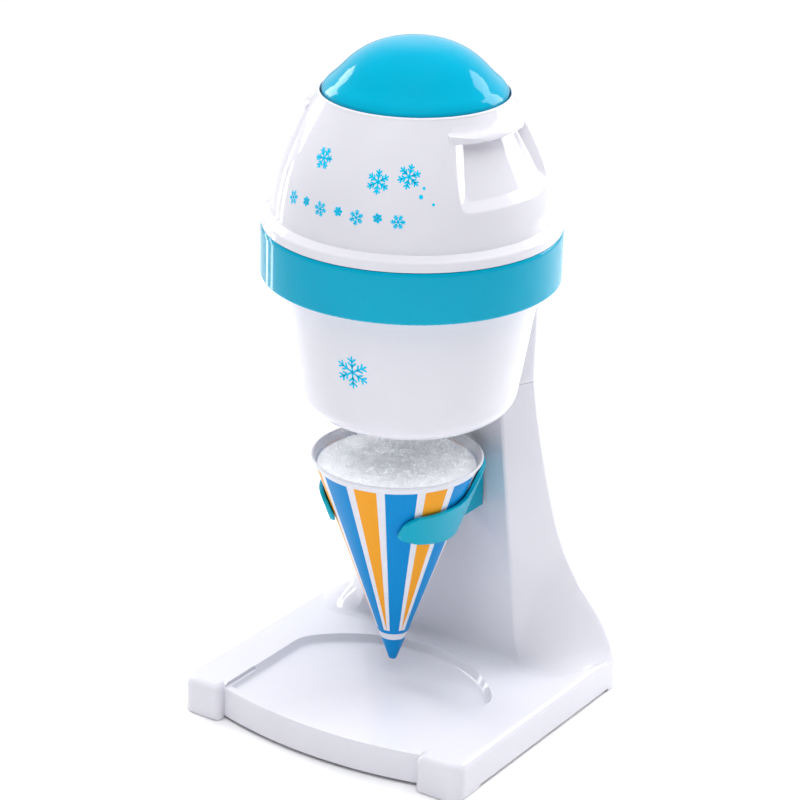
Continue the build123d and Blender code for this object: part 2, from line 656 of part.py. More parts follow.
def cone_band(low, high, gap, thickness):
    """Conical band around the paper cone, from gap outwards; solid inside if thickness is None."""
    outer = gap + (thickness or 0)
    with BuildPart() as band:
        with BuildSketch(CONE_PLANE):
            with BuildLine():
                if thickness:
                    Polyline((cone_radius(low) + gap, low), (cone_radius(low) + outer, low),
                             (cone_radius(high) + outer, high), (cone_radius(high) + gap, high), close=True)
                else:
                    Polyline((0, low), (cone_radius(low) + gap, low), (cone_radius(high) + gap, high),
                             (0, high), close=True)
            make_face()
        revolve(axis=CONE_AXIS)
    return band.part


with BuildPart() as cone_holder:
    add(cone_band(HOLDER_LOW, HOLDER_HIGH, FIT, HOLDER_THICKNESS))
    # side outline of the arms, seen along X: low in front with round tips, high at the rear
    with BuildSketch(Plane.YZ.offset(-60), mode=Mode.PRIVATE) as side:
        with BuildLine():
            Polyline((HOLDER_TIP_Y, 111.5), (-29.0, 107.8), (-12.0, HOLDER_LOW), (30.0, HOLDER_LOW),
                     (30.0, HOLDER_HIGH), (3.0, HOLDER_HIGH), (-4.5, 129.0), (-12.0, 127.0),
                     (HOLDER_TIP_Y, 125.0), (HOLDER_TIP_Y, 111.5))
        make_face()
        fillet(side.vertices().filter_by(lambda v: v.X < HOLDER_TIP_Y + 0.1), 6.0)
        fillet(side.vertices().filter_by(lambda v: abs(v.X + 4.5) < 0.1), 6.0)
        fillet(side.vertices().filter_by(lambda v: abs(v.X - 3.0) < 0.1), 4.0)
    extrude(side.sketch, amount=120, mode=Mode.INTERSECT)
    fillet(cone_holder.edges(), 0.6)
    # block between the ring and the column
    with BuildPart(mode=Mode.PRIVATE) as block:
        with BuildSketch(Plane.XY.offset(HOLDER_LOW + 1)) as outline:
            with BuildLine():
                Line((-24.5, 12.0), (24.5, 12.0))
                Line((24.5, 12.0), (24.5, 36.3))
                ThreePointArc((24.5, 36.3), (0, 39.2), (-24.5, 36.3))
                Line((-24.5, 36.3), (-24.5, 12.0))
            make_face()
        extrude(amount=132.5 - HOLDER_LOW - 1)
    add(block.part)
    add(cone_band(HOLDER_LOW - 10, HOLDER_HIGH + 5, FIT, None), mode=Mode.SUBTRACT)
    with BuildSketch(Plane.XZ.offset(-45)):
        with Locations(*HOLDER_SCREWS):
            Circle(SCREW_HOLE)
    extrude(amount=17, mode=Mode.SUBTRACT)
cone_holder.part.label = "cone_holder"
export_step(cone_holder.part, "parts/cone_holder.step")

with BuildPart() as holder_screws:
    with Locations(*[(x, 43.6, z) for x, z in HOLDER_SCREWS]):
        add(Rot(90, 0, 0) * screw(length=14.0))
holder_screws.part.label = "holder_screws"
export_step(holder_screws.part, "parts/holder_screws.step")

# ---------------------------------------------------------------- paper cone and ice
with BuildPart() as paper_cone:
    with BuildSketch(CONE_PLANE):
        with BuildLine():
            Polyline((0, CONE_TIP_Z), (CONE_TIP_RADIUS, CONE_TIP_Z), (CONE_RIM_RADIUS - 0.26, CONE_RIM_Z - 0.7),
                     (CONE_RIM_RADIUS - 0.26 - PAPER, CONE_RIM_Z - 0.7), (0.6, CONE_TIP_Z + 3.0),
                     (0, CONE_TIP_Z + 3.0), (0, CONE_TIP_Z))
        make_face()
        # rolled rim
        with Locations((CONE_RIM_RADIUS - 0.5, CONE_RIM_Z - 0.9)):
            Circle(0.9)
    revolve(axis=CONE_AXIS)
paper_cone.part.label = "paper_cone"
export_step(paper_cone.part, "parts/paper_cone.step")

with BuildPart() as shaved_ice:
    with BuildSketch(CONE_PLANE):
        with BuildLine():
            Polyline((0, CONE_TIP_Z + 5), (1.0, CONE_TIP_Z + 5.0), (ICE_RADIUS, ICE_EDGE_Z))
            Spline((ICE_RADIUS, ICE_EDGE_Z), (26.0, ICE_EDGE_Z + 2.6), (10.0, ICE_TOP_Z - 0.6), (0, ICE_TOP_Z))
            Line((0, ICE_TOP_Z), (0, CONE_TIP_Z + 5))
        make_face()
    revolve(axis=CONE_AXIS)
shaved_ice.part.label = "shaved_ice"
export_step(shaved_ice.part, "parts/shaved_ice.step")

# ---------------------------------------------------------------- head shell
FLANGE_RADIUS = 75.5
DOME_FOOT = (70.5, 279.0)
DOME_CURVE = [DOME_FOOT, (69.0, 288.0), (65.9, 300.0), (61.1, 312.0), (54.7, 325.0), (48.9, 335.6)]
DOME_INSIDE = [(68.0, 279.0), (66.4, 288.0), (63.3, 300.0), (58.5, 312.0), (53.6, LEDGE_Z)]
RIM_INNER = 70.2
RIM_OUTER = 72.9
RIM_BOTTOM = 264.0


def on_dome(angle, radius, z):
    """Point at an angle from +X."""
    return Vector(radius * cos(radians(angle)), radius * sin(radians(angle)), z)


def grip_pocket(grow=0.0):
    """Right finger pocket under a lip: deepest at the top, with leaning ends and a leaning foot."""
    front = GRIP_FRONT - grow
    rear = GRIP_REAR + grow
    step = 4.4 + grow
    foot_radius = 67.6 - step + grow * 0.4
    foot_z = GRIP_LOW + 4.4 - grow * 0.4
    reach = 84.0
    top = GRIP_HIGH + grow
    with BuildPart() as pocket:
        with BuildSketch(Plane.XZ.rotated((0, 0, front - 30))):
            with BuildLine():
                Polyline((foot_radius, foot_z), (reach, foot_z - reach + foot_radius), (reach, top),
                         (50.2 - grow, top), (foot_radius, foot_z))
            make_face()
        revolve(axis=Axis.Z, revolution_arc=rear - front + 60)
        for angle, turn in ((front, 1), (rear, -1)):
            foot = on_dome(angle, 67.6, GRIP_LOW)
            head = on_dome(angle, 55.0, GRIP_HIGH)
            inward = on_dome(angle + 180 - turn * GRIP_WALL_LEAN, 1, 0)
            out = (head - foot).cross(inward) * turn
            with BuildSketch(Plane(origin=foot, x_dir=head - foot, z_dir=out)):
                Rectangle(300, 300)
            extrude(amount=80, mode=Mode.SUBTRACT)
        corners = pocket.edges().filter_by(
            lambda e: e.center().Z < foot_z and e.length > 12
            and abs(hypot(e.position_at(0).X, e.position_at(0).Y) - hypot(e.position_at(1).X, e.position_at(1).Y)) > 8)
        fillet(corners, 9.0)
    return pocket.part


def grip_lip():
    """Low lip over the right finger pocket; an off-centre cylinder makes it run out at both ends."""
    middle = (GRIP_FRONT + GRIP_REAR) / 2
    half = (GRIP_REAR - GRIP_FRONT) / 2 + 3
    with BuildPart() as lip:
        with BuildSketch(Plane.XZ.rotated((0, 0, middle - half))):
            with BuildLine():
                Polyline((50.3, GRIP_HIGH), (56.1, GRIP_HIGH), (56.7, GRIP_HIGH + 0.6))
                Spline((56.7, GRIP_HIGH + 0.6), (56.2, GRIP_HIGH + 2.0), (54.5, GRIP_HIGH + 3.7),
                       (51.4, GRIP_HIGH + 6.0))
                Line((51.4, GRIP_HIGH + 6.0), (50.3, GRIP_HIGH))
            make_face()
        revolve(axis=Axis.Z, revolution_arc=2 * half)
        with BuildSketch(Plane.XY.offset(GRIP_HIGH - 5)):
            with Locations(on_dome(middle, LIP_CENTRE, 0)):
                Circle(LIP_RADIUS)
        extrude(amount=25, mode=Mode.INTERSECT)
    return lip.part


with BuildPart() as head_inside:
    with BuildSketch(Plane.XZ):
        with BuildLine():
            Polyline((0, RIM_BOTTOM - 1), (RIM_INNER, RIM_BOTTOM - 1), (RIM_INNER, 271.0), DOME_INSIDE[0])
            Spline(*DOME_INSIDE)
            Polyline(DOME_INSIDE[-1], (0, LEDGE_Z), (0, RIM_BOTTOM - 1))
        make_face()
    revolve(axis=Axis.Z)
    wall_pocket = grip_pocket(grow=2.2)
    add(wall_pocket, mode=Mode.SUBTRACT)
    add(mirror(wall_pocket, about=Plane.YZ), mode=Mode.SUBTRACT)

with BuildPart() as head_shell:
    with BuildSketch(Plane.XZ):
        with BuildLine():
            Polyline((0, RIM_BOTTOM), (RIM_OUTER, RIM_BOTTOM), (RIM_OUTER, HEAD_FLANGE_Z),
                     (FLANGE_RADIUS, HEAD_FLANGE_Z), (FLANGE_RADIUS, 271.0))
            Spline((FLANGE_RADIUS, 271.0), (75.0, 272.6), (73.6, 273.6), (71.6, 275.2), DOME_FOOT,
                   tangents=[(0, 1), (-0.1, 1)])
            Spline(*DOME_CURVE, tangents=[(-0.1, 1), (-0.55, 1)])
            Spline(DOME_CURVE[-1], (48.2, 336.6), (47.5, 336.6), (WELL_RADIUS, 335.9))
            Polyline((WELL_RADIUS, 335.9), (WELL_RADIUS, LEDGE_TOP), (0, LEDGE_TOP), (0, RIM_BOTTOM))
        make_face()
    revolve(axis=Axis.Z)
    # pad for the cord inlet
    with BuildSketch(Plane.XZ.offset(-INLET_FACE)):
        with Locations((0, INLET_Z)):
            Circle(9.0)
    extrude(amount=8, taper=-6)
    right_pocket = grip_pocket()
    add(right_pocket, mode=Mode.SUBTRACT)
    add(mirror(right_pocket, about=Plane.YZ), mode=Mode.SUBTRACT)
    pocket_edges = head_shell.edges().filter_by(
        lambda e: GRIP_LOW - 3 < e.center().Z < GRIP_HIGH - 0.5 and abs(e.center().Y) < 48 and abs(e.center().X) > 38)
    fillet(pocket_edges, 2.0)
    right_lip = grip_lip()
    add(right_lip)
    add(mirror(right_lip, about=Plane.YZ))
    add(head_inside.part, mode=Mode.SUBTRACT)
    # the well for the push cap, with the motor's opening and the slots for the cap's hooks
    with BuildSketch(Plane.XY.offset(LEDGE_TOP)):
        Circle(WELL_RADIUS)
    extrude(amount=20, mode=Mode.SUBTRACT)
    with BuildSketch(Plane.XY.offset(LEDGE_Z - 1)):
        Circle(LEDGE_OPENING)
        with PolarLocations(43.4, 3, start_angle=90):
            Rectangle(4.2, 9.0)
    extrude(amount=LEDGE_TOP - LEDGE_Z + 2, mode=Mode.SUBTRACT)
    # screw bosses on the inside wall
    with BuildSketch(Plane.XY.offset(HEAD_FLOOR_TOP)):
        with PolarLocations(HEAD_SCREW_RADIUS, 4, start_angle=45):
            Circle(BOSS_RADIUS)
            with Locations((3.5, 0)):
                Rectangle(5.0, 2.0)
    extrude(amount=14)
    with BuildSketch(Plane.XY.offset(HEAD_FLOOR_TOP)):
        with PolarLocations(HEAD_SCREW_RADIUS, 4, start_angle=45):
            Circle(SCREW_HOLE)
    extrude(amount=11, mode=Mode.SUBTRACT)
    # hole for the cord inlet at the rear
    with BuildSketch(Plane.XZ.offset(-80)):
        with Locations((0, INLET_Z)):
            Circle(INLET_RADIUS + 0.1)
    extrude(amount=20, mode=Mode.SUBTRACT)
head_shell.part.label = "head_shell"
export_step(head_shell.part, "parts/head_shell.step")

with BuildPart() as head_floor:
    with BuildSketch(Plane.XY.offset(HEAD_FLOOR_Z)):
        Circle(RIM_INNER - FIT)
    extrude(amount=HEAD_FLOOR_TOP - HEAD_FLOOR_Z)
    with BuildSketch(Plane.XY.offset(SPIGOT_BOTTOM)):
        Circle(SPIGOT_RADIUS)
        Circle(SPIGOT_RADIUS - 2, mode=Mode.SUBTRACT)
    extrude(amount=HEAD_FLOOR_Z - SPIGOT_BOTTOM)
    # keys that stop the head from turning in the hopper
    with BuildSketch(Plane.XY.offset(HOPPER_TOP - 6)):
        with Locations((SPIGOT_RADIUS, 0), (-SPIGOT_RADIUS, 0)):
            Rectangle(2 * (HOPPER_TUBE - SPIGOT_RADIUS) - 1, KEY_WIDTH)
    extrude(amount=HEAD_FLOOR_Z - HOPPER_TOP + 6)
    # bearing boss and its hole
    with BuildSketch(Plane.XY.offset(SPIGOT_BOTTOM + 2)):
        Circle(BUSH_RADIUS + 2.5)
    extrude(amount=HEAD_FLOOR_Z - SPIGOT_BOTTOM - 2)
    with BuildSketch(Plane.XY.offset(SPIGOT_BOTTOM)):
        Circle(BUSH_RADIUS + 0.02)
    extrude(amount=20, mode=Mode.SUBTRACT)
    with BuildSketch(Plane.XY.offset(HEAD_FLOOR_Z - 1)):
        with PolarLocations(HEAD_SCREW_RADIUS, 4, start_angle=45):
            Circle(SCREW_HOLE + 0.2)
    extrude(amount=6, mode=Mode.SUBTRACT)
    with BuildSketch(Plane.XY.offset(HEAD_FLOOR_Z - 1)):
        with PolarLocations(HEAD_SCREW_RADIUS, 4, start_angle=45):
            Circle(3.1)
    extrude(amount=2.5, mode=Mode.SUBTRACT)
    # blind holes for the gearbox screws
    with BuildSketch(Plane.XY.offset(HEAD_FLOOR_TOP - 2)):
        with Locations(*GEARBOX_SCREWS):
            Circle(SCREW_HOLE)
    extrude(amount=3, mode=Mode.SUBTRACT)
head_floor.part.label = "head_floor"
export_step(head_floor.part, "parts/head_floor.step")

with BuildPart() as head_screws:
    with PolarLocations(HEAD_SCREW_RADIUS, 4, start_angle=45):
        with Locations((0, 0, HEAD_FLOOR_Z + 1.5)):
            add(screw(head_height=1.6, length=11.0))
head_screws.part.label = "head_screws"
export_step(head_screws.part, "parts/head_screws.step")

with BuildPart() as shaft_bush:
    with BuildSketch(Plane.XY.offset(SPIGOT_BOTTOM + 1)):
        Circle(BUSH_RADIUS + 1.5)
        Circle(DRIVE_RADIUS + RUNNING, mode=Mode.SUBTRACT)
    extrude(amount=1)
    with BuildSketch(Plane.XY.offset(SPIGOT_BOTTOM + 2)):
        Circle(BUSH_RADIUS)
        Circle(DRIVE_RADIUS + RUNNING, mode=Mode.SUBTRACT)
    extrude(amount=GEARBOX_TOP_OF_FLOOR - SPIGOT_BOTTOM - 2)
shaft_bush.part.label = "shaft_bush"
export_step(shaft_bush.part, "parts/shaft_bush.step")

with BuildPart() as cord_gland:
    # flanged grommet for the supply cord, its own bore closed by a thin web
    with BuildSketch(Plane.YZ):
        with BuildLine():
            Polyline((61.8, INLET_Z + 3.0), (61.8, INLET_Z + 6.2), (63.3, INLET_Z + 6.2),
                     (63.3, INLET_Z + INLET_RADIUS), (INLET_FACE, INLET_Z + INLET_RADIUS),
                     (INLET_FACE, INLET_Z + 7.6), (71.6, INLET_Z + 7.2), (72.0, INLET_Z + 6.2),
                     (73.6, INLET_Z + 4.4), (73.6, INLET_Z + 3.0), (69.0, INLET_Z + 3.0), (69.0, INLET_Z),
                     (68.0, INLET_Z), (68.0, INLET_Z + 3.0), (61.8, INLET_Z + 3.0))
        make_face()
    revolve(axis=Axis((0, 0, INLET_Z), (0, 1, 0)))
cord_gland.part.label = "cord_gland"
export_step(cord_gland.part, "parts/cord_gland.step")

# ---------------------------------------------------------------- push cap
CAP_CURVE = [(0, CAP_TOP), (20.6, 358.7), (33.8, 350.5), (41.1, 343.2), (CAP_RADIUS, CAP_SEAT_Z)]
CAP_INSIDE = [(CAP_RADIUS - CAP_WALL, CAP_SEAT_Z - 0.6), (39.3, 341.6), (32.3, 348.6), (19.8, 356.5),
              (0, CAP_TOP - CAP_WALL)]

SPRING_PLACES = ring_points(SPRING_CIRCLE, 3, pi / 6)

with BuildPart() as cap_hollow:
    with BuildSketch(Plane.XZ):
        with BuildLine():
            Line((0, CAP_SKIRT), (CAP_RADIUS - CAP_WALL, CAP_SKIRT))
            Line((CAP_RADIUS - CAP_WALL, CAP_SKIRT), CAP_INSIDE[0])
            Spline(*CAP_INSIDE, tangents=[(-0.45, 1), (-1, 0)])
            Line(CAP_INSIDE[-1], (0, CAP_SKIRT))
        make_face()
    revolve(axis=Axis.Z)
    # spring seats and the post over the switch stay solid
    with BuildSketch(Plane.XY.offset(SPRING_TOP)):
        with Locations(*SPRING_PLACES):
            Circle(4.2)
    extrude(amount=20, mode=Mode.SUBTRACT)
    with BuildSketch(Plane.XY.offset(CAP_SKIRT)):
        with Locations((0, SWITCH_Y)):
            Circle(3.0)
    extrude(amount=40, mode=Mode.SUBTRACT)

with BuildPart() as push_cap:
    with BuildSketch(Plane.XZ):
        with BuildLine():
            Spline(*CAP_CURVE, tangents=[(1, 0), (0.45, -1)])
            Polyline(CAP_CURVE[-1], (CAP_RADIUS, CAP_SKIRT), (0, CAP_SKIRT), (0, CAP_TOP))
        make_face()
    revolve(axis=Axis.Z)
    add(cap_hollow.part, mode=Mode.SUBTRACT)
    # hooks that hold the cap under the ledge
    with BuildSketch(Plane.XY.offset(LEDGE_Z - 5)):
        with PolarLocations(43.2, 3, start_angle=90):
            Rectangle(2.4, 7.0)
    extrude(amount=CAP_SKIRT + 2 - LEDGE_Z + 5)
    with BuildSketch(Plane.XY.offset(LEDGE_Z - 5)):
        with PolarLocations(44.8, 3, start_angle=90):
            Rectangle(2.6, 7.0)
    extrude(amount=4.6)
    # lower end of the post
    with BuildSketch(Plane.XY.offset(PLUNGER_TOP + 0.05)):
        with Locations((0, SWITCH_Y)):
            Circle(3.0)
    extrude(amount=CAP_SKIRT - PLUNGER_TOP + 1)
push_cap.part.label = "push_cap"
export_step(push_cap.part, "parts/push_cap.step")

with BuildPart() as cap_springs:
    height = SPRING_TOP - LEDGE_TOP
    with BuildLine() as coil:
        Helix(pitch=(height - 2 * SPRING_WIRE) / SPRING_TURNS, height=height - 2 * SPRING_WIRE, radius=SPRING_RADIUS,
              center=(0, 0, LEDGE_TOP + SPRING_WIRE))
    with BuildPart(mode=Mode.PRIVATE) as spring:
        with BuildSketch(Plane(origin=coil.line @ 0, z_dir=coil.line % 0)):
            Circle(SPRING_WIRE)
        sweep(path=coil.line, is_frenet=True)
    with Locations(*[(x, y, 0) for x, y in SPRING_PLACES]):
        add(spring.part)
cap_springs.part.label = "cap_springs"
export_step(cap_springs.part, "parts/cap_springs.step")

# ---------------------------------------------------------------- gearbox
MOTOR_AXIS = Axis((0, MOTOR_Y, 0), (0, 0, 1))
MOTOR_PLANE = Plane.XZ.offset(-MOTOR_Y)


def gearbox_face(shrink=0.0, lugs=True):
    """Outline around the drive gear and the idler, with lugs for the screws."""
    with BuildSketch() as face:
        with BuildSketch() as body:
            Circle(DRIVE_CASE_RADIUS - shrink)
            with Locations((0, IDLER_Y)):
                Circle(IDLER_CASE_RADIUS - shrink)
            make_hull()
        if lugs:
            with Locations(*GEARBOX_SCREWS):
                Circle(4.5)
    return face.sketch


with BuildPart() as gearbox_housing:
    with BuildSketch(Plane.XY.offset(HEAD_FLOOR_TOP)):
        add(gearbox_face())
    extrude(amount=COVER_Z - HEAD_FLOOR_TOP)
    with BuildSketch(Plane.XY.offset(GEARBOX_TOP_OF_FLOOR)):
        add(gearbox_face(shrink=2.0, lugs=False))
    extrude(amount=COVER_Z, mode=Mode.SUBTRACT)
    with BuildSketch(Plane.XY.offset(HEAD_FLOOR_TOP - 1)):
        Circle(BUSH_RADIUS + 0.02)
        with Locations((0, IDLER_Y)):
            Circle(IDLER_PIN_RADIUS + 0.02)
        with Locations(*GEARBOX_SCREWS):
            Circle(SCREW_HOLE)
    extrude(amount=30, mode=Mode.SUBTRACT)
gearbox_housing.part.label = "gearbox_housing"
export_step(gearbox_housing.part, "parts/gearbox_housing.step")

with BuildPart() as gearbox_cover:
    with BuildSketch(Plane.XY.offset(COVER_Z)):
        add(gearbox_face())
        with Locations((0, IDLER_Y)):
            Circle(IDLER_PIN_RADIUS + 0.02, mode=Mode.SUBTRACT)
        with Locations((0, MOTOR_Y)):
            Circle(MOTOR_BOSS_RADIUS + 0.1, mode=Mode.SUBTRACT)
        with Locations(*GEARBOX_SCREWS):
            Circle(SCREW_HOLE + 0.1, mode=Mode.SUBTRACT)
        with Locations(*MOTOR_SCREWS):
            Circle(1.3, mode=Mode.SUBTRACT)
        with Locations(*BRACKET_SCREWS):
            Circle(1.1, mode=Mode.SUBTRACT)
    extrude(amount=COVER_THICKNESS)
gearbox_cover.part.label = "gearbox_cover"
export_step(gearbox_cover.part, "parts/gearbox_cover.step")

with BuildPart() as gearbox_screws:
    with Locations(*[(x, y, COVER_TOP) for x, y in GEARBOX_SCREWS]):
        add(Rot(180, 0, 0) * screw(length=COVER_TOP - HEAD_FLOOR_TOP + 1.8))
gearbox_screws.part.label = "gearbox_screws"
export_step(gearbox_screws.part, "parts/gearbox_screws.step")

with BuildPart() as idler_pin:
    with BuildSketch(Plane.XY.offset(HEAD_FLOOR_TOP)):
        with Locations((0, IDLER_Y)):
            Circle(IDLER_PIN_RADIUS)
    extrude(amount=COVER_TOP - HEAD_FLOOR_TOP)
    chamfer(idler_pin.edges().group_by(Axis.Z)[-1], 0.4)
idler_pin.part.label = "idler_pin"
export_step(idler_pin.part, "parts/idler_pin.step")

with BuildPart() as idler_gear:
    with BuildSketch(Plane.XY.offset(270.3)):
        with Locations((0, IDLER_Y)):
            Polygon(*spur_gear_outline(IDLER_SMALL_TEETH, DRIVE_MODULE, -pi / 2 + pi / IDLER_SMALL_TEETH),
                    align=None)
    extrude(amount=IDLER_LEVEL - 270.3)
    with BuildSketch(Plane.XY.offset(IDLER_LEVEL)):
        with Locations((0, IDLER_Y)):
            Polygon(*spur_gear_outline(IDLER_LARGE_TEETH, MOTOR_MODULE, -pi / 2), align=None)
    extrude(amount=5)
    with BuildSketch(Plane.XY.offset(IDLER_LEVEL + 5)):
        with Locations((0, IDLER_Y)):
            Circle(5)
    extrude(amount=2.6)
    # lightening recess in the web
    with BuildSketch(Plane.XY.offset(IDLER_LEVEL + 3)):
        with Locations((0, IDLER_Y)):
            Circle(16)
            Circle(7.5, mode=Mode.SUBTRACT)
    extrude(amount=3, mode=Mode.SUBTRACT)
    with BuildSketch(Plane.XY.offset(268)):
        with Locations((0, IDLER_Y)):
            Circle(IDLER_PIN_RADIUS + RUNNING)
    extrude(amount=24, mode=Mode.SUBTRACT)
idler_gear.part.label = "idler_gear"
export_step(idler_gear.part, "parts/idler_gear.step")

# ---------------------------------------------------------------- drive shaft and impeller
with BuildPart() as drive_gear:
    with BuildSketch(Plane.XY.offset(DRIVE_LEVEL)):
        Polygon(*spur_gear_outline(DRIVE_TEETH, DRIVE_MODULE, pi / 2), align=None)
    extrude(amount=7)
    with BuildSketch(Plane.XY.offset(DRIVE_LEVEL + 4.5)):
        Circle(26)
        Circle(10, mode=Mode.SUBTRACT)
    extrude(amount=3, mode=Mode.SUBTRACT)
    for i in range(6):
        with BuildSketch(Plane.XY.offset(DRIVE_LEVEL + 4.5)):
            with Locations(Rotation(0, 0, 60 * i)):
                with Locations((18, 0)):
                    Rectangle(18, 2)
        extrude(amount=2.5)
    with BuildSketch(Plane.XY.offset(DRIVE_LEVEL - 0.7)):
        Circle(8)
    extrude(amount=8.2)
    with BuildSketch(Plane.XY.offset(DRIVE_LEVEL - 2)):
        Circle(DRIVE_RADIUS + 0.01)
    extrude(amount=12, mode=Mode.SUBTRACT)
drive_gear.part.label = "drive_gear"
export_step(drive_gear.part, "parts/drive_gear.step")

with BuildPart() as drive_shaft:
    with BuildSketch(Plane.XY.offset(IMPELLER_BOTTOM + 0.3)):
        Circle(DRIVE_RADIUS)
    extrude(amount=DRIVE_LEVEL + 7.6 - IMPELLER_BOTTOM - 0.3)
    chamfer(drive_shaft.edges().group_by(Axis.Z)[-1], 0.5)
drive_shaft.part.label = "drive_shaft"
export_step(drive_shaft.part, "parts/drive_shaft.step")

with BuildPart() as impeller:
    with BuildSketch(Plane.XY.offset(IMPELLER_BOTTOM)):
        with PolarLocations(0, 4):
            with BuildLine():
                ThreePointArc((6.0, -1.5), (27.0, -7.0), (VANE_RADIUS, -1.5))
                Line((VANE_RADIUS, -1.5), (VANE_RADIUS - 0.4, 1.6))
                ThreePointArc((VANE_RADIUS - 0.4, 1.6), (27.0, -3.8), (6.0, 1.5))
                Line((6.0, 1.5), (6.0, -1.5))
            make_face()
    extrude(amount=VANE_HEIGHT)
    with BuildSketch(Plane.XY.offset(IMPELLER_BOTTOM)):
        Circle(9)
    extrude(amount=VANE_HEIGHT + 5, taper=2)
    with BuildSketch(Plane.XY.offset(IMPELLER_BOTTOM - 1)):
        RegularPolygon(6.2, 6)
    extrude(amount=1 + NUT_HEIGHT, mode=Mode.SUBTRACT)
    with BuildSketch(Plane.XY.offset(IMPELLER_BOTTOM - 1)):
        Circle(DRIVE_RADIUS + 0.01)
    extrude(amount=40, mode=Mode.SUBTRACT)
impeller.part.label = "impeller"
export_step(impeller.part, "parts/impeller.step")

with BuildPart() as impeller_nut:
    with BuildSketch(Plane.XY.offset(IMPELLER_BOTTOM + 0.1)):
        RegularPolygon(6.0, 6)
        Circle(DRIVE_RADIUS + 0.01, mode=Mode.SUBTRACT)
    extrude(amount=NUT_HEIGHT - 0.2)
impeller_nut.part.label = "impeller_nut"
export_step(impeller_nut.part, "parts/impeller_nut.step")

# ---------------------------------------------------------------- motor
with BuildPart() as motor_can:
    with BuildSketch(MOTOR_PLANE):
        with BuildLine():
            Polyline((MOTOR_BORE, COVER_TOP - 2), (MOTOR_BOSS_RADIUS, COVER_TOP - 2), (MOTOR_BOSS_RADIUS, COVER_TOP),
                     (MOTOR_RADIUS - 1, COVER_TOP), (MOTOR_RADIUS, COVER_TOP + 1), (MOTOR_RADIUS, MOTOR_CAN_TOP),
                     (MOTOR_RADIUS - 1.4, MOTOR_CAN_TOP), (MOTOR_RADIUS - 1.4, COVER_TOP + 1.4),
                     (MOTOR_BORE, COVER_TOP + 1.4), (MOTOR_BORE, COVER_TOP - 2))
        make_face()
    revolve(axis=MOTOR_AXIS)
    with BuildSketch(Plane.XY.offset(COVER_TOP - 1)):
        with Locations(*MOTOR_SCREWS):
            Circle(1.15)
    extrude(amount=4, mode=Mode.SUBTRACT)
motor_can.part.label = "motor_can"
export_step(motor_can.part, "parts/motor_can.step")

with BuildPart() as motor_end_cap:
    with BuildSketch(MOTOR_PLANE):
        with BuildLine():
            Polyline((MOTOR_BORE, MOTOR_CAN_TOP), (MOTOR_RADIUS - 1.5, MOTOR_CAN_TOP - 2),
                     (MOTOR_RADIUS - 1.5, MOTOR_CAN_TOP), (MOTOR_RADIUS, MOTOR_CAN_TOP),
                     (MOTOR_RADIUS, MOTOR_CAN_TOP + 2), (6, MOTOR_CAN_TOP + 2), (5, MOTOR_CAN_TOP + 4.5),
                     (MOTOR_BORE, MOTOR_CAN_TOP + 4.5), (MOTOR_BORE, MOTOR_CAN_TOP))
        make_face()
    revolve(axis=MOTOR_AXIS)
    # terminals
    with BuildSketch(Plane.XY.offset(MOTOR_CAN_TOP + 2)):
        with Locations((-12, MOTOR_Y), (12, MOTOR_Y)):
            Rectangle(0.8, 5)
    extrude(amount=4)
motor_end_cap.part.label = "motor_end_cap"
export_step(motor_end_cap.part, "parts/motor_end_cap.step")

with BuildPart() as motor_magnets:
    with BuildSketch(Plane.XY.offset(297)):
        with Locations((0, MOTOR_Y)):
            Circle(MOTOR_RADIUS - 1.45)
            Circle(14.6, mode=Mode.SUBTRACT)
            Rectangle(50, 13, mode=Mode.SUBTRACT)
    extrude(amount=21)
motor_magnets.part.label = "motor_magnets"
export_step(motor_magnets.part, "parts/motor_magnets.step")

with BuildPart() as motor_screws:
    with Locations(*[(x, y, COVER_Z) for x, y in MOTOR_SCREWS]):
        add(screw(head_radius=2.1, head_height=1.5, shank_radius=1.1, length=5.0))
motor_screws.part.label = "motor_screws"
export_step(motor_screws.part, "parts/motor_screws.step")

with BuildPart() as motor_shaft:
    with BuildSketch(Plane.XY.offset(PINION_Z)):
        with Locations((0, MOTOR_Y)):
            Circle(MOTOR_BORE - RUNNING)
    extrude(amount=MOTOR_CAN_TOP + 4.3 - PINION_Z)
motor_shaft.part.label = "motor_shaft"
export_step(motor_shaft.part, "parts/motor_shaft.step")

with BuildPart() as motor_pinion:
    with BuildSketch(Plane.XY.offset(PINION_Z)):
        with Locations((0, MOTOR_Y)):
            Polygon(*spur_gear_outline(PINION_TEETH, MOTOR_MODULE, pi / 2 + pi / PINION_TEETH), align=None)
            Circle(MOTOR_BORE - RUNNING + 0.01, mode=Mode.SUBTRACT)
    extrude(amount=6.6)
motor_pinion.part.label = "motor_pinion"
export_step(motor_pinion.part, "parts/motor_pinion.step")

with BuildPart() as motor_armature:
    with BuildSketch(Plane.XY.offset(297)):
        with Locations((0, MOTOR_Y)):
            Circle(14)
            Circle(MOTOR_BORE - RUNNING + 0.01, mode=Mode.SUBTRACT)
            with PolarLocations(9.8, 5):
                Circle(3.4, mode=Mode.SUBTRACT)
            with PolarLocations(13, 5):
                Rectangle(4, 1.8, mode=Mode.SUBTRACT)
    extrude(amount=20)
motor_armature.part.label = "motor_armature"
export_step(motor_armature.part, "parts/motor_armature.step")

with BuildPart() as motor_commutator:
    with BuildSketch(Plane.XY.offset(318)):
        with Locations((0, MOTOR_Y)):
            Circle(4.6)
            Circle(MOTOR_BORE - RUNNING + 0.01, mode=Mode.SUBTRACT)
            with PolarLocations(4.6, 5):
                Rectangle(1.6, 0.5, mode=Mode.SUBTRACT)
    extrude(amount=3.4)
motor_commutator.part.label = "motor_commutator"
export_step(motor_commutator.part, "parts/motor_commutator.step")

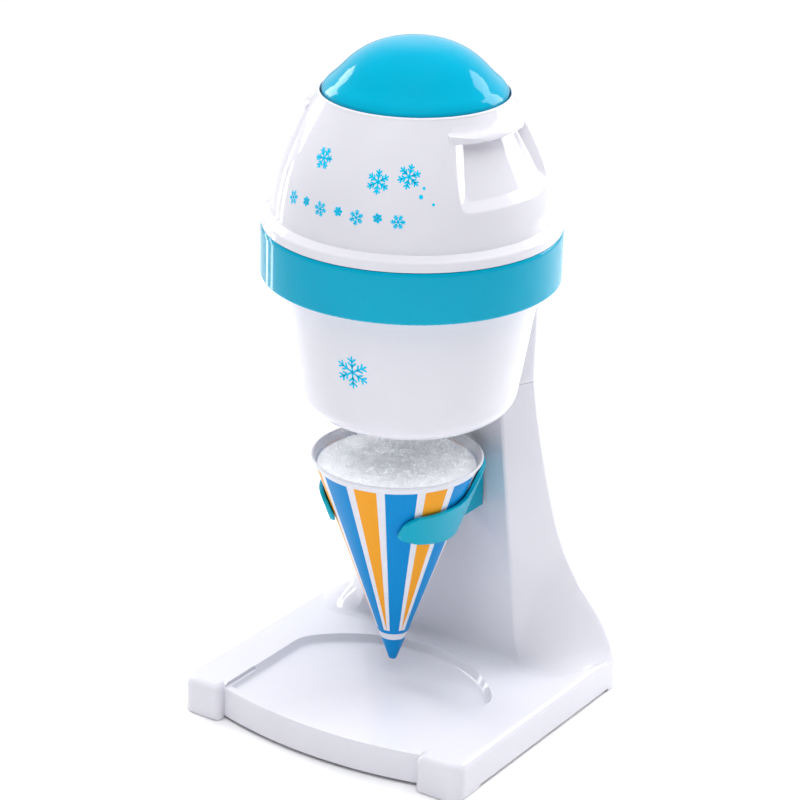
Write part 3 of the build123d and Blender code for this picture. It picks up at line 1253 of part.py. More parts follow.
# ---------------------------------------------------------------- switch under the cap
with BuildPart() as switch_bracket:
    with BuildSketch(Plane.YZ.offset(-10)):
        with BuildLine():
            Polyline((SWITCH_BACK, COVER_TOP), (SWITCH_Y + 2, COVER_TOP), (SWITCH_Y + 2, COVER_TOP + BRACKET),
                     (SWITCH_BACK + BRACKET, COVER_TOP + BRACKET), (SWITCH_BACK + BRACKET, SWITCH_TOP - 4),
                     (SWITCH_BACK, SWITCH_TOP - 4), (SWITCH_BACK, COVER_TOP))
        make_face()
    extrude(amount=20)
    with BuildSketch(Plane.XY.offset(COVER_TOP)):
        with Locations(*BRACKET_SCREWS):
            Circle(1.2)
    extrude(amount=BRACKET, mode=Mode.SUBTRACT)
    with BuildSketch(Plane.XZ.offset(-SWITCH_BACK - BRACKET)):
        with Locations(*SWITCH_SCREWS):
            Circle(1.05)
    extrude(amount=BRACKET, mode=Mode.SUBTRACT)
switch_bracket.part.label = "switch_bracket"
export_step(switch_bracket.part, "parts/switch_bracket.step")

with BuildPart() as bracket_screws:
    with Locations(*[(x, y, COVER_TOP + BRACKET) for x, y in BRACKET_SCREWS]):
        add(Rot(180, 0, 0) * screw(head_radius=2.0, head_height=1.3, shank_radius=1.05, length=3.8))
bracket_screws.part.label = "bracket_screws"
export_step(bracket_screws.part, "parts/bracket_screws.step")

with BuildPart() as switch_body:
    with BuildSketch(Plane.XY.offset(SWITCH_TOP - 19)):
        with Locations((0, SWITCH_Y)):
            Rectangle(20, 2 * (SWITCH_Y - SWITCH_BACK - BRACKET))
    extrude(amount=19)
    chamfer(switch_body.edges().group_by(Axis.Z)[-1], 0.6)
    with BuildSketch(Plane.XY.offset(SWITCH_TOP - 13)):
        with Locations((0, SWITCH_Y)):
            Circle(PLUNGER_RADIUS + RUNNING)
    extrude(amount=14, mode=Mode.SUBTRACT)
    with BuildSketch(Plane.XZ.offset(-SWITCH_BACK)):
        with Locations(*SWITCH_SCREWS):
            Circle(1.05)
    extrude(amount=-20, mode=Mode.SUBTRACT)
    with BuildSketch(Plane.XY.offset(SWITCH_TOP - 25)):
        with Locations((-6, SWITCH_Y), (6, SWITCH_Y)):
            Rectangle(4, 0.8)
    extrude(amount=6)
switch_body.part.label = "switch_body"
export_step(switch_body.part, "parts/switch_body.step")

with BuildPart() as switch_screws:
    with Locations(*[(x, SWITCH_BACK, z) for x, z in SWITCH_SCREWS]):
        add(Rot(-90, 0, 0) * screw(head_radius=1.9, head_height=1.2, shank_radius=1.0, length=12.0))
switch_screws.part.label = "switch_screws"
export_step(switch_screws.part, "parts/switch_screws.step")

with BuildPart() as switch_plunger:
    with BuildSketch(Plane.XY.offset(SWITCH_TOP - 7)):
        with Locations((0, SWITCH_Y)):
            Circle(PLUNGER_RADIUS)
    extrude(amount=PLUNGER_TOP - SWITCH_TOP + 7)
    fillet(switch_plunger.edges().group_by(Axis.Z)[-1], 0.8)
switch_plunger.part.label = "switch_plunger"
export_step(switch_plunger.part, "parts/switch_plunger.step")
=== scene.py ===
"""Looks of a table-top shaved ice machine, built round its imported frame. Metres, +Z up, -Y to the front."""
import math
import random

import bmesh
import bpy
from mathutils import Matrix, Vector, noise
from mathutils.bvhtree import BVHTree


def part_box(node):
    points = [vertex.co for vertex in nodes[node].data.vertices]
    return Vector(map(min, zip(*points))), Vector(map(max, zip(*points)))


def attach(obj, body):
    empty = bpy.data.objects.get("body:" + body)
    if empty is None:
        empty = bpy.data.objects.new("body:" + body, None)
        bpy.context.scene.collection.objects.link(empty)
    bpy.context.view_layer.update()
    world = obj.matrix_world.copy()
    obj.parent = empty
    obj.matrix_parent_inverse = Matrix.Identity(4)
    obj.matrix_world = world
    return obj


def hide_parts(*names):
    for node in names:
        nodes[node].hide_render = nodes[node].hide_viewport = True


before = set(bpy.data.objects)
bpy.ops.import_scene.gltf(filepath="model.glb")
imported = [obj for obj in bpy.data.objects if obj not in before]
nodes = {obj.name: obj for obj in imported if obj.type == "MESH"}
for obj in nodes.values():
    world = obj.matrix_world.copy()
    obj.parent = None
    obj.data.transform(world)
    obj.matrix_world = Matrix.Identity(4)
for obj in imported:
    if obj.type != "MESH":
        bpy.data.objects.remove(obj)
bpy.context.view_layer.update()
MM = 0.001


# ------------------------------------------------------------------ where the frame's parts are
cone_low, cone_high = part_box("paper_cone")
ICE_TOP_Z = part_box("shaved_ice")[1].z
CONE_X = (cone_low.x + cone_high.x) / 2
CONE_Y = (cone_low.y + cone_high.y) / 2
CONE_RIM_RADIUS = (cone_high.x - cone_low.x) / 2

# The camera: its direction from the machine, its roll, and the point that it looks at.
VIEW_AZIMUTH = math.radians(33.35)
VIEW_ELEVATION = math.radians(22.51)
VIEW_ROLL = math.radians(1.30)
VIEW_DISTANCE = 1.575
VIEW_LENS = 138.4
VIEW_SIDE_STEP = -4.15 * MM
VIEW_TARGET_HEIGHT = 171.1 * MM


# ------------------------------------------------------------------ node materials
class Look:
    """A node material with one Principled shader, and short calls for the nodes that feed it."""

    def __init__(self, name, **sockets):
        self.material = bpy.data.materials.new(name)
        self.material.use_nodes = True
        self.tree = self.material.node_tree
        self.shader = self.tree.nodes["Principled BSDF"]
        coordinates = self.add("ShaderNodeTexCoord")
        self.place = coordinates.outputs["Object"]
        self.bumps = None
        for socket, value in sockets.items():
            self.set(socket.replace("_", " "), value)

    def set(self, socket, value):
        if isinstance(value, bpy.types.NodeSocket):
            self.tree.links.new(value, self.shader.inputs[socket])
        else:
            self.shader.inputs[socket].default_value = value

    def add(self, kind, inputs=None, **settings):
        node = self.tree.nodes.new(kind)
        for name, value in settings.items():
            setattr(node, name, value)
        for key, value in (inputs or {}).items():
            if isinstance(value, bpy.types.NodeSocket):
                self.tree.links.new(value, node.inputs[key])
            else:
                node.inputs[key].default_value = value
        return node

    def math(self, operation, a, b=0.0, c=0.0):
        return self.add("ShaderNodeMath", {0: a, 1: b, 2: c}, operation=operation).outputs[0]

    def noise(self, scale, detail=2.0, rough=0.5, vector=None, distortion=0.0):
        inputs = {"Vector": vector or self.place, "Scale": scale, "Detail": detail,
                  "Roughness": rough, "Distortion": distortion}
        return self.add("ShaderNodeTexNoise", inputs).outputs["Fac"]

    def stretched(self, x, y, z):
        """The place with its axes scaled, for grain that runs one way."""
        return self.add("ShaderNodeMapping", {"Vector": self.place, "Scale": (x, y, z)}).outputs[0]

    def span(self, value, low, high, to_low=0.0, to_high=1.0):
        """The value with low to high stretched onto to_low to to_high."""
        inputs = {"Value": value, "From Min": low, "From Max": high, "To Min": to_low, "To Max": to_high}
        return self.add("ShaderNodeMapRange", inputs).outputs[0]

    def mix(self, share, a, b):
        """Colour a where share is 0, b where it is 1."""
        node = self.add("ShaderNodeMix", data_type="RGBA")
        for index, value in ((0, share), (6, a), (7, b)):
            if isinstance(value, bpy.types.NodeSocket):
                self.tree.links.new(value, node.inputs[index])
            else:
                node.inputs[index].default_value = value
        return node.outputs[2]

    def bump(self, height, distance, strength=1.0):
        """Adds one layer of relief, distance metres deep, over those already there."""
        inputs = {"Height": height, "Distance": distance, "Strength": strength}
        if self.bumps is not None:
            inputs["Normal"] = self.bumps
        self.bumps = self.add("ShaderNodeBump", inputs).outputs[0]
        self.set("Normal", self.bumps)


def rgb(red, green, blue):
    """A colour given as 0-255 sRGB, in the shader's linear values."""
    def linear(value):
        value /= 255
        return value / 12.92 if value <= 0.04045 else ((value + 0.055) / 1.055) ** 2.4
    return (linear(red), linear(green), linear(blue), 1.0)


def moulded(name, pale, deep, gloss=0.12, texture=0.0, scuffs=1.0, specular=0.5):
    """Glossy injection-moulded plastic: flow shades, orange peel, dust-fine roughness and faint scuffs."""
    look = Look(name, IOR=1.49, Specular_IOR_Level=specular)
    flow = look.noise(14.0, 3.0, 0.55, distortion=0.6)
    speck = look.noise(900.0, 1.0)
    shade = look.math("ADD", look.math("MULTIPLY", flow, 0.8), look.math("MULTIPLY", speck, 0.2))
    look.set("Base Color", look.mix(look.span(shade, 0.3, 0.7), deep, pale))
    smudge = look.span(look.noise(46.0, 4.0, 0.62, distortion=1.2), 0.52, 0.72)
    grain = look.span(look.noise(1600.0, 2.0), 0.3, 0.7, -0.02, 0.02)
    scratch_lines = look.noise(60.0, 2.0, 0.5, vector=look.stretched(60.0, 2.5, 9.0), distortion=0.4)
    scratches = look.span(scratch_lines, 0.71, 0.76, 0.0, 0.10 * scuffs)
    rough = look.math("ADD", look.math("MULTIPLY", smudge, 0.07 * scuffs), look.math("ADD", grain, scratches))
    look.set("Roughness", look.math("ADD", rough, gloss))
    look.bump(look.noise(210.0, 2.0, 0.4), 0.000012)
    if texture:
        look.bump(look.noise(2600.0, 2.0), texture)
    return look.material


def metal(name, colour, dark, rough, along=(900.0, 60.0, 60.0), depth=0.000012):
    """Bare metal with a drawn or turned grain along one way, and duller patches."""
    look = Look(name, Metallic=1.0)
    grain = look.noise(1.0, 3.0, 0.6, vector=look.stretched(*along))
    patches = look.noise(120.0, 3.0, 0.6)
    look.set("Base Color", look.mix(look.span(patches, 0.3, 0.75), colour, dark))
    look.set("Roughness", look.math("ADD", look.math("MULTIPLY", grain, 0.22), rough))
    look.bump(grain, depth)
    return look.material


def satin(name, pale, deep, rough=0.42, bump=0.00002, scale=1500.0, ior=1.5):
    """Unpolished engineering plastic or rubber with an even spark-eroded grain."""
    look = Look(name, IOR=ior)
    cloud = look.noise(55.0, 3.0, 0.6)
    grit = look.noise(scale, 2.0, 0.6)
    look.set("Base Color", look.mix(look.span(cloud, 0.3, 0.7), deep, pale))
    look.set("Roughness", look.span(grit, 0.25, 0.75, rough - 0.07, rough + 0.09))
    look.bump(grit, bump)
    return look.material


def windings():
    """Enamelled copper wire laid in slots round a stacked core."""
    look = Look("wound_core", Metallic=0.85)
    wire = {"Vector": look.place, "Scale": 420.0, "Distortion": 1.6, "Detail": 2.0}
    turns = look.add("ShaderNodeTexWave", wire, bands_direction="Z").outputs["Fac"]
    look.set("Base Color", look.mix(look.span(turns, 0.2, 0.8), rgb(92, 42, 22), rgb(196, 108, 62)))
    look.set("Roughness", look.span(turns, 0.0, 1.0, 0.42, 0.26))
    look.bump(turns, 0.00006)
    return look.material


def clear_plastic():
    """Water-clear thin tube, almost unseen but for faint flow lines and a little surface haze."""
    look = Look("clear_plastic", IOR=1.47)
    look.set("Transmission Weight", 1.0)
    haze = look.noise(70.0, 3.0, 0.6)
    look.set("Base Color", look.mix(haze, rgb(244, 247, 250), rgb(252, 253, 255)))
    look.set("Roughness", look.span(haze, 0.35, 0.75, 0.015, 0.07))
    look.set("Alpha", look.span(haze, 0.3, 0.7, 0.05, 0.09))
    look.bump(look.noise(1.0, 2.0, vector=look.stretched(90.0, 90.0, 900.0)), 0.000008)
    return look.material


# ------------------------------------------------------------------ CAD nodes: smooth shading and finishes
def shading_group(angle):
    """Modifier nodes that weld the faces' shared edges and keep only real corners sharp."""
    group = bpy.data.node_groups.new("weld_and_shade", "GeometryNodeTree")
    group.interface.new_socket("Geometry", in_out="INPUT", socket_type="NodeSocketGeometry")
    group.interface.new_socket("Geometry", in_out="OUTPUT", socket_type="NodeSocketGeometry")

    def add(kind, **settings):
        node = group.nodes.new(kind)
        for name, value in settings.items():
            setattr(node, name, value)
        return node

    start, end = add("NodeGroupInput"), add("NodeGroupOutput")
    bare = add("GeometryNodeRemoveAttribute")
    bare.inputs["Name"].default_value = "custom_normal"
    weld = add("GeometryNodeMergeByDistance")
    weld.inputs["Distance"].default_value = 0.004 * MM
    faces = add("GeometryNodeSetShadeSmooth", domain="FACE")
    faces.inputs["Shade Smooth"].default_value = True
    edges = add("GeometryNodeSetShadeSmooth", domain="EDGE")
    edges.inputs["Shade Smooth"].default_value = False
    bend = add("GeometryNodeInputMeshEdgeAngle")
    sharp = add("FunctionNodeCompare", data_type="FLOAT", operation="GREATER_THAN")
    sharp.inputs[1].default_value = math.radians(angle)
    link = group.links.new
    link(start.outputs[0], bare.inputs["Geometry"])
    link(bare.outputs["Geometry"], weld.inputs["Geometry"])
    link(weld.outputs["Geometry"], faces.inputs["Geometry"])
    link(faces.outputs["Geometry"], edges.inputs["Geometry"])
    link(bend.outputs["Unsigned Angle"], sharp.inputs[0])
    link(sharp.outputs["Result"], edges.inputs["Selection"])
    link(edges.outputs["Geometry"], end.inputs[0])
    return group


def finish_node(node, material, group):
    """Gives a CAD node its finish and smooth shading; its own mesh stays as packed."""
    target = nodes[node]
    if target.data.materials:
        for index in range(len(target.data.materials)):
            target.data.materials[index] = material
    else:
        target.data.materials.append(material)
    shade = target.modifiers.new("shade", "NODES")
    shade.node_group = group
    weigh = target.modifiers.new("weigh", "WEIGHTED_NORMAL")
    weigh.keep_sharp = True
    weigh.weight = 50


WHITE = moulded("white_plastic", rgb(229, 228, 236), rgb(224, 223, 231), gloss=0.07, scuffs=0.6)
WHITE_INNER = moulded("white_inner_plastic", rgb(232, 233, 238), rgb(224, 225, 231), gloss=0.24,
                      texture=0.00001)
TURQUOISE = moulded("turquoise_plastic", rgb(0, 170, 203), rgb(0, 162, 196), gloss=0.06, scuffs=0.6,
                    specular=0.16)
HOLDER_TURQUOISE = moulded("holder_plastic", rgb(0, 172, 200), rgb(0, 162, 191), gloss=0.2,
                           texture=0.00001, specular=0.2)
NYLON = satin("natural_nylon", rgb(232, 229, 216), rgb(214, 210, 194), rough=0.38)
BLACK = satin("black_plastic", rgb(34, 34, 37), rgb(22, 22, 24), rough=0.36)
RED = satin("red_plastic", rgb(190, 40, 34), rgb(160, 28, 24), rough=0.3)
RUBBER = satin("rubber", rgb(46, 46, 49), rgb(32, 32, 34), rough=0.62, bump=0.00004, scale=1100.0, ior=1.45)
FERRITE = satin("ferrite", rgb(62, 62, 66), rgb(40, 40, 43), rough=0.5, bump=0.00004, scale=900.0)
STEEL = metal("stainless_steel", (0.62, 0.63, 0.65, 1), (0.5, 0.51, 0.53, 1), 0.17)
BLADE_STEEL = metal("ground_steel", (0.7, 0.71, 0.73, 1), (0.55, 0.56, 0.58, 1), 0.12,
                    along=(60.0, 1500.0, 60.0))
PLATED = metal("zinc_plate", (0.6, 0.61, 0.62, 1), (0.5, 0.5, 0.48, 1), 0.3, along=(60.0, 60.0, 900.0))
BRONZE = metal("bronze", (0.68, 0.45, 0.22, 1), (0.48, 0.3, 0.15, 1), 0.24, along=(60.0, 60.0, 1200.0))
FINISHES = {
    WHITE: ["stand_shell", "upper_housing", "head_shell"],
    WHITE_INNER: ["base_plate", "head_floor", "ice_hopper"],
    TURQUOISE: ["collar_ring", "push_cap"],
    HOLDER_TURQUOISE: ["cone_holder"],
    NYLON: ["gearbox_housing", "gearbox_cover", "drive_gear", "idler_gear", "impeller"],
    BLACK: ["motor_end_cap", "switch_body"],
    RED: ["switch_plunger"],
    RUBBER: ["rubber_feet", "cord_gland"],
    FERRITE: ["motor_magnets"],
    STEEL: ["base_screws", "neck_screws", "blade_screws", "plate_screws", "holder_screws",
            "head_screws", "gearbox_screws", "idler_pin", "motor_screws", "switch_bracket",
            "bracket_screws", "switch_screws", "cap_springs", "drive_shaft", "impeller_nut",
            "motor_shaft", "blade_plate"],
    BLADE_STEEL: ["blade"],
    PLATED: ["motor_can"],
    BRONZE: ["shaft_bush", "motor_pinion", "motor_commutator"],
    windings(): ["motor_armature"],
    clear_plastic(): ["chute"],
}
smooth = shading_group(angle=32)
for finish, members in FINISHES.items():
    for member in members:
        finish_node(member, finish, smooth)


# ------------------------------------------------------------------ small mesh helpers
def new_piece(name, mesh, material, body):
    """Links a finished bmesh as a piece that rides on a body."""
    data = bpy.data.meshes.new(name)
    mesh.to_mesh(data)
    mesh.free()
    for item in material if isinstance(material, list) else [material]:
        data.materials.append(item)
    piece = bpy.data.objects.new(name, data)
    bpy.context.scene.collection.objects.link(piece)
    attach(piece, body)
    return piece


def lathe(mesh, profile, steps, shape):
    """Turns (radius, z, material) points round an axis; shape(angle, radius, z) gives each point's place."""
    rings = []
    for radius, height, _ in profile:
        angles = [math.tau * step / steps for step in range(steps)]
        rings.append([mesh.verts.new(shape(angle, radius, height)) for angle in angles])
    for index, (low, high) in enumerate(zip(rings, rings[1:])):
        for step in range(steps):
            after = (step + 1) % steps
            face = mesh.faces.new((low[step], low[after], high[after], high[step]))
            face.smooth = True
            face.material_index = profile[index][2]
    return rings


# ------------------------------------------------------------------ paper cone
PAPER = 0.45 * MM
CURL_RADIUS = 0.85 * MM
CURL_DROP = 0.95 * MM
CONE_TIP_RADIUS = 1.75 * MM
CONE_SLOPE = (CONE_RIM_RADIUS - 0.9 * MM - CONE_TIP_RADIUS) / (cone_high.z - cone_low.z)
CONE_APEX_Z = cone_low.z - CONE_TIP_RADIUS / CONE_SLOPE
CONE_LEVELS = 60
CONE_STEPS = 288
SEAM_ANGLE = math.radians(-24.0)
SEAM_STEP = 0.28 * MM
SEAM_FADE = math.radians(16)

# The print. Heights are above the cone's apex, half widths in degrees round its axis. Where share is a height
# as a share of the rim's, a blue wedge's half width is BLUE_HALF + BLUE_FLARE * (1 / share - 1), and an
# orange one's is ORANGE_HALF * (1 - ORANGE_TAPER / share).
STRIPE_PAIRS = 7
STRIPE_PERIOD = 360 / STRIPE_PAIRS
BLUE_CENTRE = math.radians(-53.2)
BLUE_HALF, BLUE_FLARE = 11.3, 1.05
ORANGE_HALF, ORANGE_TAPER = 10.6, 0.2
STRIPE_TOP = cone_high.z - 4.4 * MM - CONE_APEX_Z
RING_TOP = 25.8 * MM
RING_BOTTOM = 23.5 * MM
TIP_TOP = 19.6 * MM
EDGE_BLUR, EDGE_WAVER = 0.0012, 0.003  # shares of a stripe period
RING_BLUR = 0.00008


def cone_print(name, strength, rough):
    """Waxed paper with blue and orange wedges in turn, and a blue ring and a blue end at the tip."""
    look = Look(name, IOR=1.44, Specular_IOR_Level=0.14)
    parts = look.add("ShaderNodeSeparateXYZ", {0: look.place}).outputs
    x = look.math("SUBTRACT", parts[0], CONE_X)
    y = look.math("SUBTRACT", parts[1], CONE_Y)
    height = look.math("SUBTRACT", parts[2], CONE_APEX_Z)
    share = look.math("MAXIMUM", look.math("DIVIDE", height, cone_high.z - CONE_APEX_Z), 0.02)
    angle = look.math("SUBTRACT", look.math("ARCTAN2", y, x), BLUE_CENTRE)
    turn = look.math("DIVIDE", angle, math.tau / STRIPE_PAIRS)
    blue_away = look.math("ABSOLUTE", look.math("WRAP", turn, 0.5, -0.5))
    orange_away = look.math("SUBTRACT", 0.5, blue_away)
    one_over = look.math("DIVIDE", 1.0, share)
    blue_half = look.math("MULTIPLY_ADD", look.math("SUBTRACT", one_over, 1.0),
                          BLUE_FLARE / STRIPE_PERIOD, BLUE_HALF / STRIPE_PERIOD)
    orange_half = look.math("MULTIPLY_ADD", one_over, -ORANGE_HALF * ORANGE_TAPER / STRIPE_PERIOD,
                            ORANGE_HALF / STRIPE_PERIOD)
    waver = look.math("MULTIPLY", look.math("SUBTRACT", look.noise(700.0, 2.0), 0.5), EDGE_WAVER)

    def inside(distance, half):
        gap = look.math("ADD", look.math("SUBTRACT", half, distance), waver)
        return look.span(gap, -EDGE_BLUR, EDGE_BLUR)

    def above(level):
        return look.span(height, level - RING_BLUR, level + RING_BLUR)

    def below(level):
        return look.math("SUBTRACT", 1.0, above(level))

    stripes = look.math("MULTIPLY", above(RING_TOP), below(STRIPE_TOP))
    blue = look.math("MULTIPLY", inside(blue_away, blue_half), stripes)
    orange = look.math("MULTIPLY", inside(orange_away, orange_half), stripes)
    ring = look.math("MULTIPLY", above(RING_BOTTOM), below(RING_TOP))
    blue = look.math("MINIMUM", look.math("ADD", look.math("ADD", blue, ring), below(TIP_TOP)), 1.0)
    fibre = look.noise(420.0, 5.0, 0.7)
    mottle = look.noise(1500.0, 2.0, 0.6)
    paper = look.mix(look.span(fibre, 0.3, 0.7), rgb(224, 225, 232), rgb(233, 233, 240))
    blue_ink = look.mix(look.span(mottle, 0.25, 0.75), rgb(0, 132, 202), rgb(0, 144, 214))
    orange_ink = look.mix(look.span(mottle, 0.25, 0.75), rgb(240, 160, 34), rgb(246, 168, 46))
    colour = look.mix(look.math("MULTIPLY", blue, strength), paper, blue_ink)
    colour = look.mix(look.math("MULTIPLY", orange, strength), colour, orange_ink)
    look.set("Base Color", colour)
    inked = look.math("MAXIMUM", blue, orange)
    look.set("Roughness", look.math("ADD", look.span(fibre, 0.3, 0.7, rough - 0.05, rough + 0.06),
                                    look.math("MULTIPLY", inked, -0.05)))
    look.bump(fibre, 0.00003)
    look.bump(look.noise(2400.0, 2.0), 0.00001)
    return look.material


def seam_lift(angle):
    """How far the outer ply stands out just past the glued side seam."""
    past = (angle - SEAM_ANGLE) % math.tau
    return SEAM_STEP * max(0.0, 1 - past / SEAM_FADE)


def build_cone():
    """The wrapped paper cup: a thin wall with its side seam, a rolled rim and a blunt folded tip."""
    mesh = bmesh.new()
    rim_z = cone_high.z - CURL_DROP
    rim_radius = (rim_z - CONE_APEX_Z) * CONE_SLOPE - 0.05 * MM
    tip_z = cone_low.z + 0.05 * MM
    outer_low, outer_high = tip_z + 1.2 * MM, rim_z - CURL_RADIUS
    inner_low, inner_high = tip_z + 2.4 * MM, rim_z - 1.6 * MM
    curl_points, curl_start, curl_sweep = 14, -70, 300
    flat_above, full_below = rim_z - 2 * MM, rim_z - 5 * MM
    ripple, ripple_phase = 0.12 * MM, 1.3

    def outer(height):
        return (height - CONE_APEX_Z) * CONE_SLOPE

    profile = []
    for index in range(CONE_LEVELS + 1):
        height = outer_low + (outer_high - outer_low) * index / CONE_LEVELS
        profile.append((outer(height), height, 0))
    for index in range(curl_points):
        turn = math.radians(curl_start + index * curl_sweep / (curl_points - 1))
        radius, height = rim_radius + CURL_RADIUS * math.cos(turn), rim_z + CURL_RADIUS * math.sin(turn)
        profile.append((radius, height, 0 if index < 3 else 1))
    for index in range(CONE_LEVELS + 1):
        height = inner_low + (inner_high - inner_low) * (1 - index / CONE_LEVELS)
        profile.append((outer(height) - PAPER, height, 1))

    def shape(angle, radius, height):
        """The round place, moved by the seam's step and a slight waviness that both end below the rim."""
        fade = min(1.0, max(0.0, (flat_above - height) / (flat_above - full_below)))
        out = radius + (seam_lift(angle) - SEAM_STEP / 2) * fade
        out += ripple * math.sin(3 * angle + ripple_phase) * fade * radius / CONE_RIM_RADIUS
        return (CONE_X + out * math.cos(angle), CONE_Y + out * math.sin(angle), height)

    rings = lathe(mesh, profile, CONE_STEPS, shape)
    for ring, height, index in ((rings[0], tip_z, 0), (rings[-1], tip_z + 1.6 * MM, 1)):
        centre = mesh.verts.new((CONE_X, CONE_Y, height))
        for step in range(CONE_STEPS):
            after = (step + 1) % CONE_STEPS
            order = (ring[after], ring[step], centre) if index == 0 else (ring[step], ring[after], centre)
            face = mesh.faces.new(order)
            face.smooth = True
            face.material_index = index
    bmesh.ops.recalc_face_normals(mesh, faces=mesh.faces)
    looks = [cone_print("cone_paper", 1.0, 0.42), cone_print("cone_lining", 0.16, 0.3)]
    piece = new_piece("printed_cone", mesh, looks, "cup")
    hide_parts("paper_cone")


build_cone()


# ------------------------------------------------------------------ shaved ice
MOUND_RADIUS = 41.6 * MM
ICE_EDGE_Z = cone_high.z - 5.6 * MM
ICE_DEPTH = 22 * MM
ICE_GAP = 0.5 * MM
ICE_RINGS = 46
ICE_STEPS = 150
GRAINS = 2600
GRAIN_CORNERS = 9
GRAIN_SEED = 7


def ice_look(name, body, rough):
    """Wet crushed ice: bright frosty grains, with a painted glow of their own (emission) that stands in for
    the light scattering through the heap.
    """
    look = Look(name, IOR=1.31)
    cloud = look.noise(260.0, 4.0, 0.65)
    # Painted glow: the ice emits a faint light of its own, stronger where the noise is high, in place of
    # light scattered through the heap.
    look.set("Emission Color", rgb(246, 248, 255))
    look.set("Emission Strength", look.span(cloud, 0.3, 0.7, 0.1, 0.24))
    crystal = look.add("ShaderNodeTexVoronoi", {"Vector": look.place, "Scale": 620.0}).outputs["Distance"]
    look.set("Base Color", look.mix(look.span(cloud, 0.3, 0.7), body, rgb(250, 252, 255)))
    look.set("Roughness", look.span(crystal, 0.0, 0.7, rough, rough + 0.22))
    look.bump(crystal, 0.00005, 0.4)
    look.bump(look.noise(1900.0, 3.0, 0.7), 0.00003)
    return look.material


def ice_height(x, y):
    """Top of the heap above a point, from the cone's axis: a low mound with lumps that end at its edge."""
    reach = math.hypot(x, y) / MOUND_RADIUS
    crown = (ICE_TOP_Z - 1.6 * MM - ICE_EDGE_Z) * max(0.0, 1 - reach ** 2.2)
    lumps = 1.5 * MM * noise.noise(Vector((x, y, 0.3)) * 95)
    lumps += 0.8 * MM * noise.noise(Vector((x, y, 2.1)) * 260)
    fade = max(0.0, 1 - reach ** 6)
    return ICE_EDGE_Z + crown + lumps * fade


def add_grain(mesh, corners):
    """One closed flat-sided grain round a few points, made apart and copied in."""
    small = bmesh.new()
    made = [small.verts.new(corner) for corner in corners]
    bmesh.ops.convex_hull(small, input=made)
    copies = {vertex: mesh.verts.new(vertex.co) for vertex in small.verts if vertex.link_faces}
    for face in small.faces:
        copy = mesh.faces.new([copies[vertex] for vertex in face.verts])
        copy.material_index = 1
    small.free()


def build_ice():
    """The heap: a lumpy body that fills the cone, under a crust of separate shaved grains."""
    mesh = bmesh.new()

    def room(height):
        """The heap's radius inside the paper at a height."""
        return (height - CONE_APEX_Z) * CONE_SLOPE - PAPER - ICE_GAP

    reach = room(ICE_EDGE_Z)
    rings = []
    for ring in range(1, ICE_RINGS + 1):
        radius = reach * ring / ICE_RINGS
        row = []
        for step in range(ICE_STEPS):
            angle = math.tau * step / ICE_STEPS
            x, y = radius * math.cos(angle), radius * math.sin(angle)
            row.append(mesh.verts.new((CONE_X + x, CONE_Y + y, ice_height(x, y))))
        rings.append(row)
    top = mesh.verts.new((CONE_X, CONE_Y, ice_height(0, 0)))
    floor_z = ICE_EDGE_Z - ICE_DEPTH
    low = [mesh.verts.new((CONE_X + room(floor_z) * math.cos(math.tau * s / ICE_STEPS),
                           CONE_Y + room(floor_z) * math.sin(math.tau * s / ICE_STEPS), floor_z))
           for s in range(ICE_STEPS)]
    base = mesh.verts.new((CONE_X, CONE_Y, floor_z))
    for step in range(ICE_STEPS):
        after = (step + 1) % ICE_STEPS
        mesh.faces.new((top, rings[0][step], rings[0][after]))
        for inner, outer in zip(rings, rings[1:]):
            mesh.faces.new((inner[step], outer[step], outer[after], inner[after]))
        mesh.faces.new((rings[-1][step], low[step], low[after], rings[-1][after]))
        mesh.faces.new((low[after], low[step], base))
    for face in mesh.faces:
        face.smooth = True
    bmesh.ops.recalc_face_normals(mesh, faces=mesh.faces)
    draw = random.Random(GRAIN_SEED)
    for _ in range(GRAINS):
        distance = (reach - 0.9 * MM) * math.sqrt(draw.random())
        angle = draw.random() * math.tau
        x, y = distance * math.cos(angle), distance * math.sin(angle)
        size = draw.uniform(0.45, 1.35) * MM
        centre = Vector((CONE_X + x, CONE_Y + y, ice_height(x, y) + draw.uniform(-0.3, 0.35) * size))
        if distance > room(centre.z) - size * 1.1:
            continue
        spin = draw.random() * math.tau
        turn = Matrix.Rotation(spin, 3, Vector((draw.random() - 0.5, draw.random() - 0.5, 0.6)))
        stretch = Vector((draw.uniform(0.6, 1.1), draw.uniform(0.5, 0.9), draw.uniform(0.3, 0.8)))
        corners = []
        for _ in range(GRAIN_CORNERS):
            point = Vector((draw.uniform(-1, 1), draw.uniform(-1, 1), draw.uniform(-1, 1))).normalized()
            point *= draw.uniform(0.75, 1.0) * size
            point = Vector((point.x * stretch.x, point.y * stretch.y, point.z * stretch.z))
            corners.append(centre + turn @ point)
        add_grain(mesh, corners)
    looks = [ice_look("ice_body", rgb(250, 251, 253), 0.25), ice_look("ice_grains", rgb(252, 253, 255), 0.05)]
    piece = new_piece("ice_heap", mesh, looks, "cup")
    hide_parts("shaved_ice")


build_ice()


# ------------------------------------------------------------------ printed decoration
def surface_of(node):
    """A search tree of a CAD node's triangles, to lay print on."""
    data = nodes[node].data
    data.calc_loop_triangles()
    points = [vertex.co.copy() for vertex in data.vertices]
    return BVHTree.FromPolygons(points, [tuple(t.vertices) for t in data.loop_triangles])


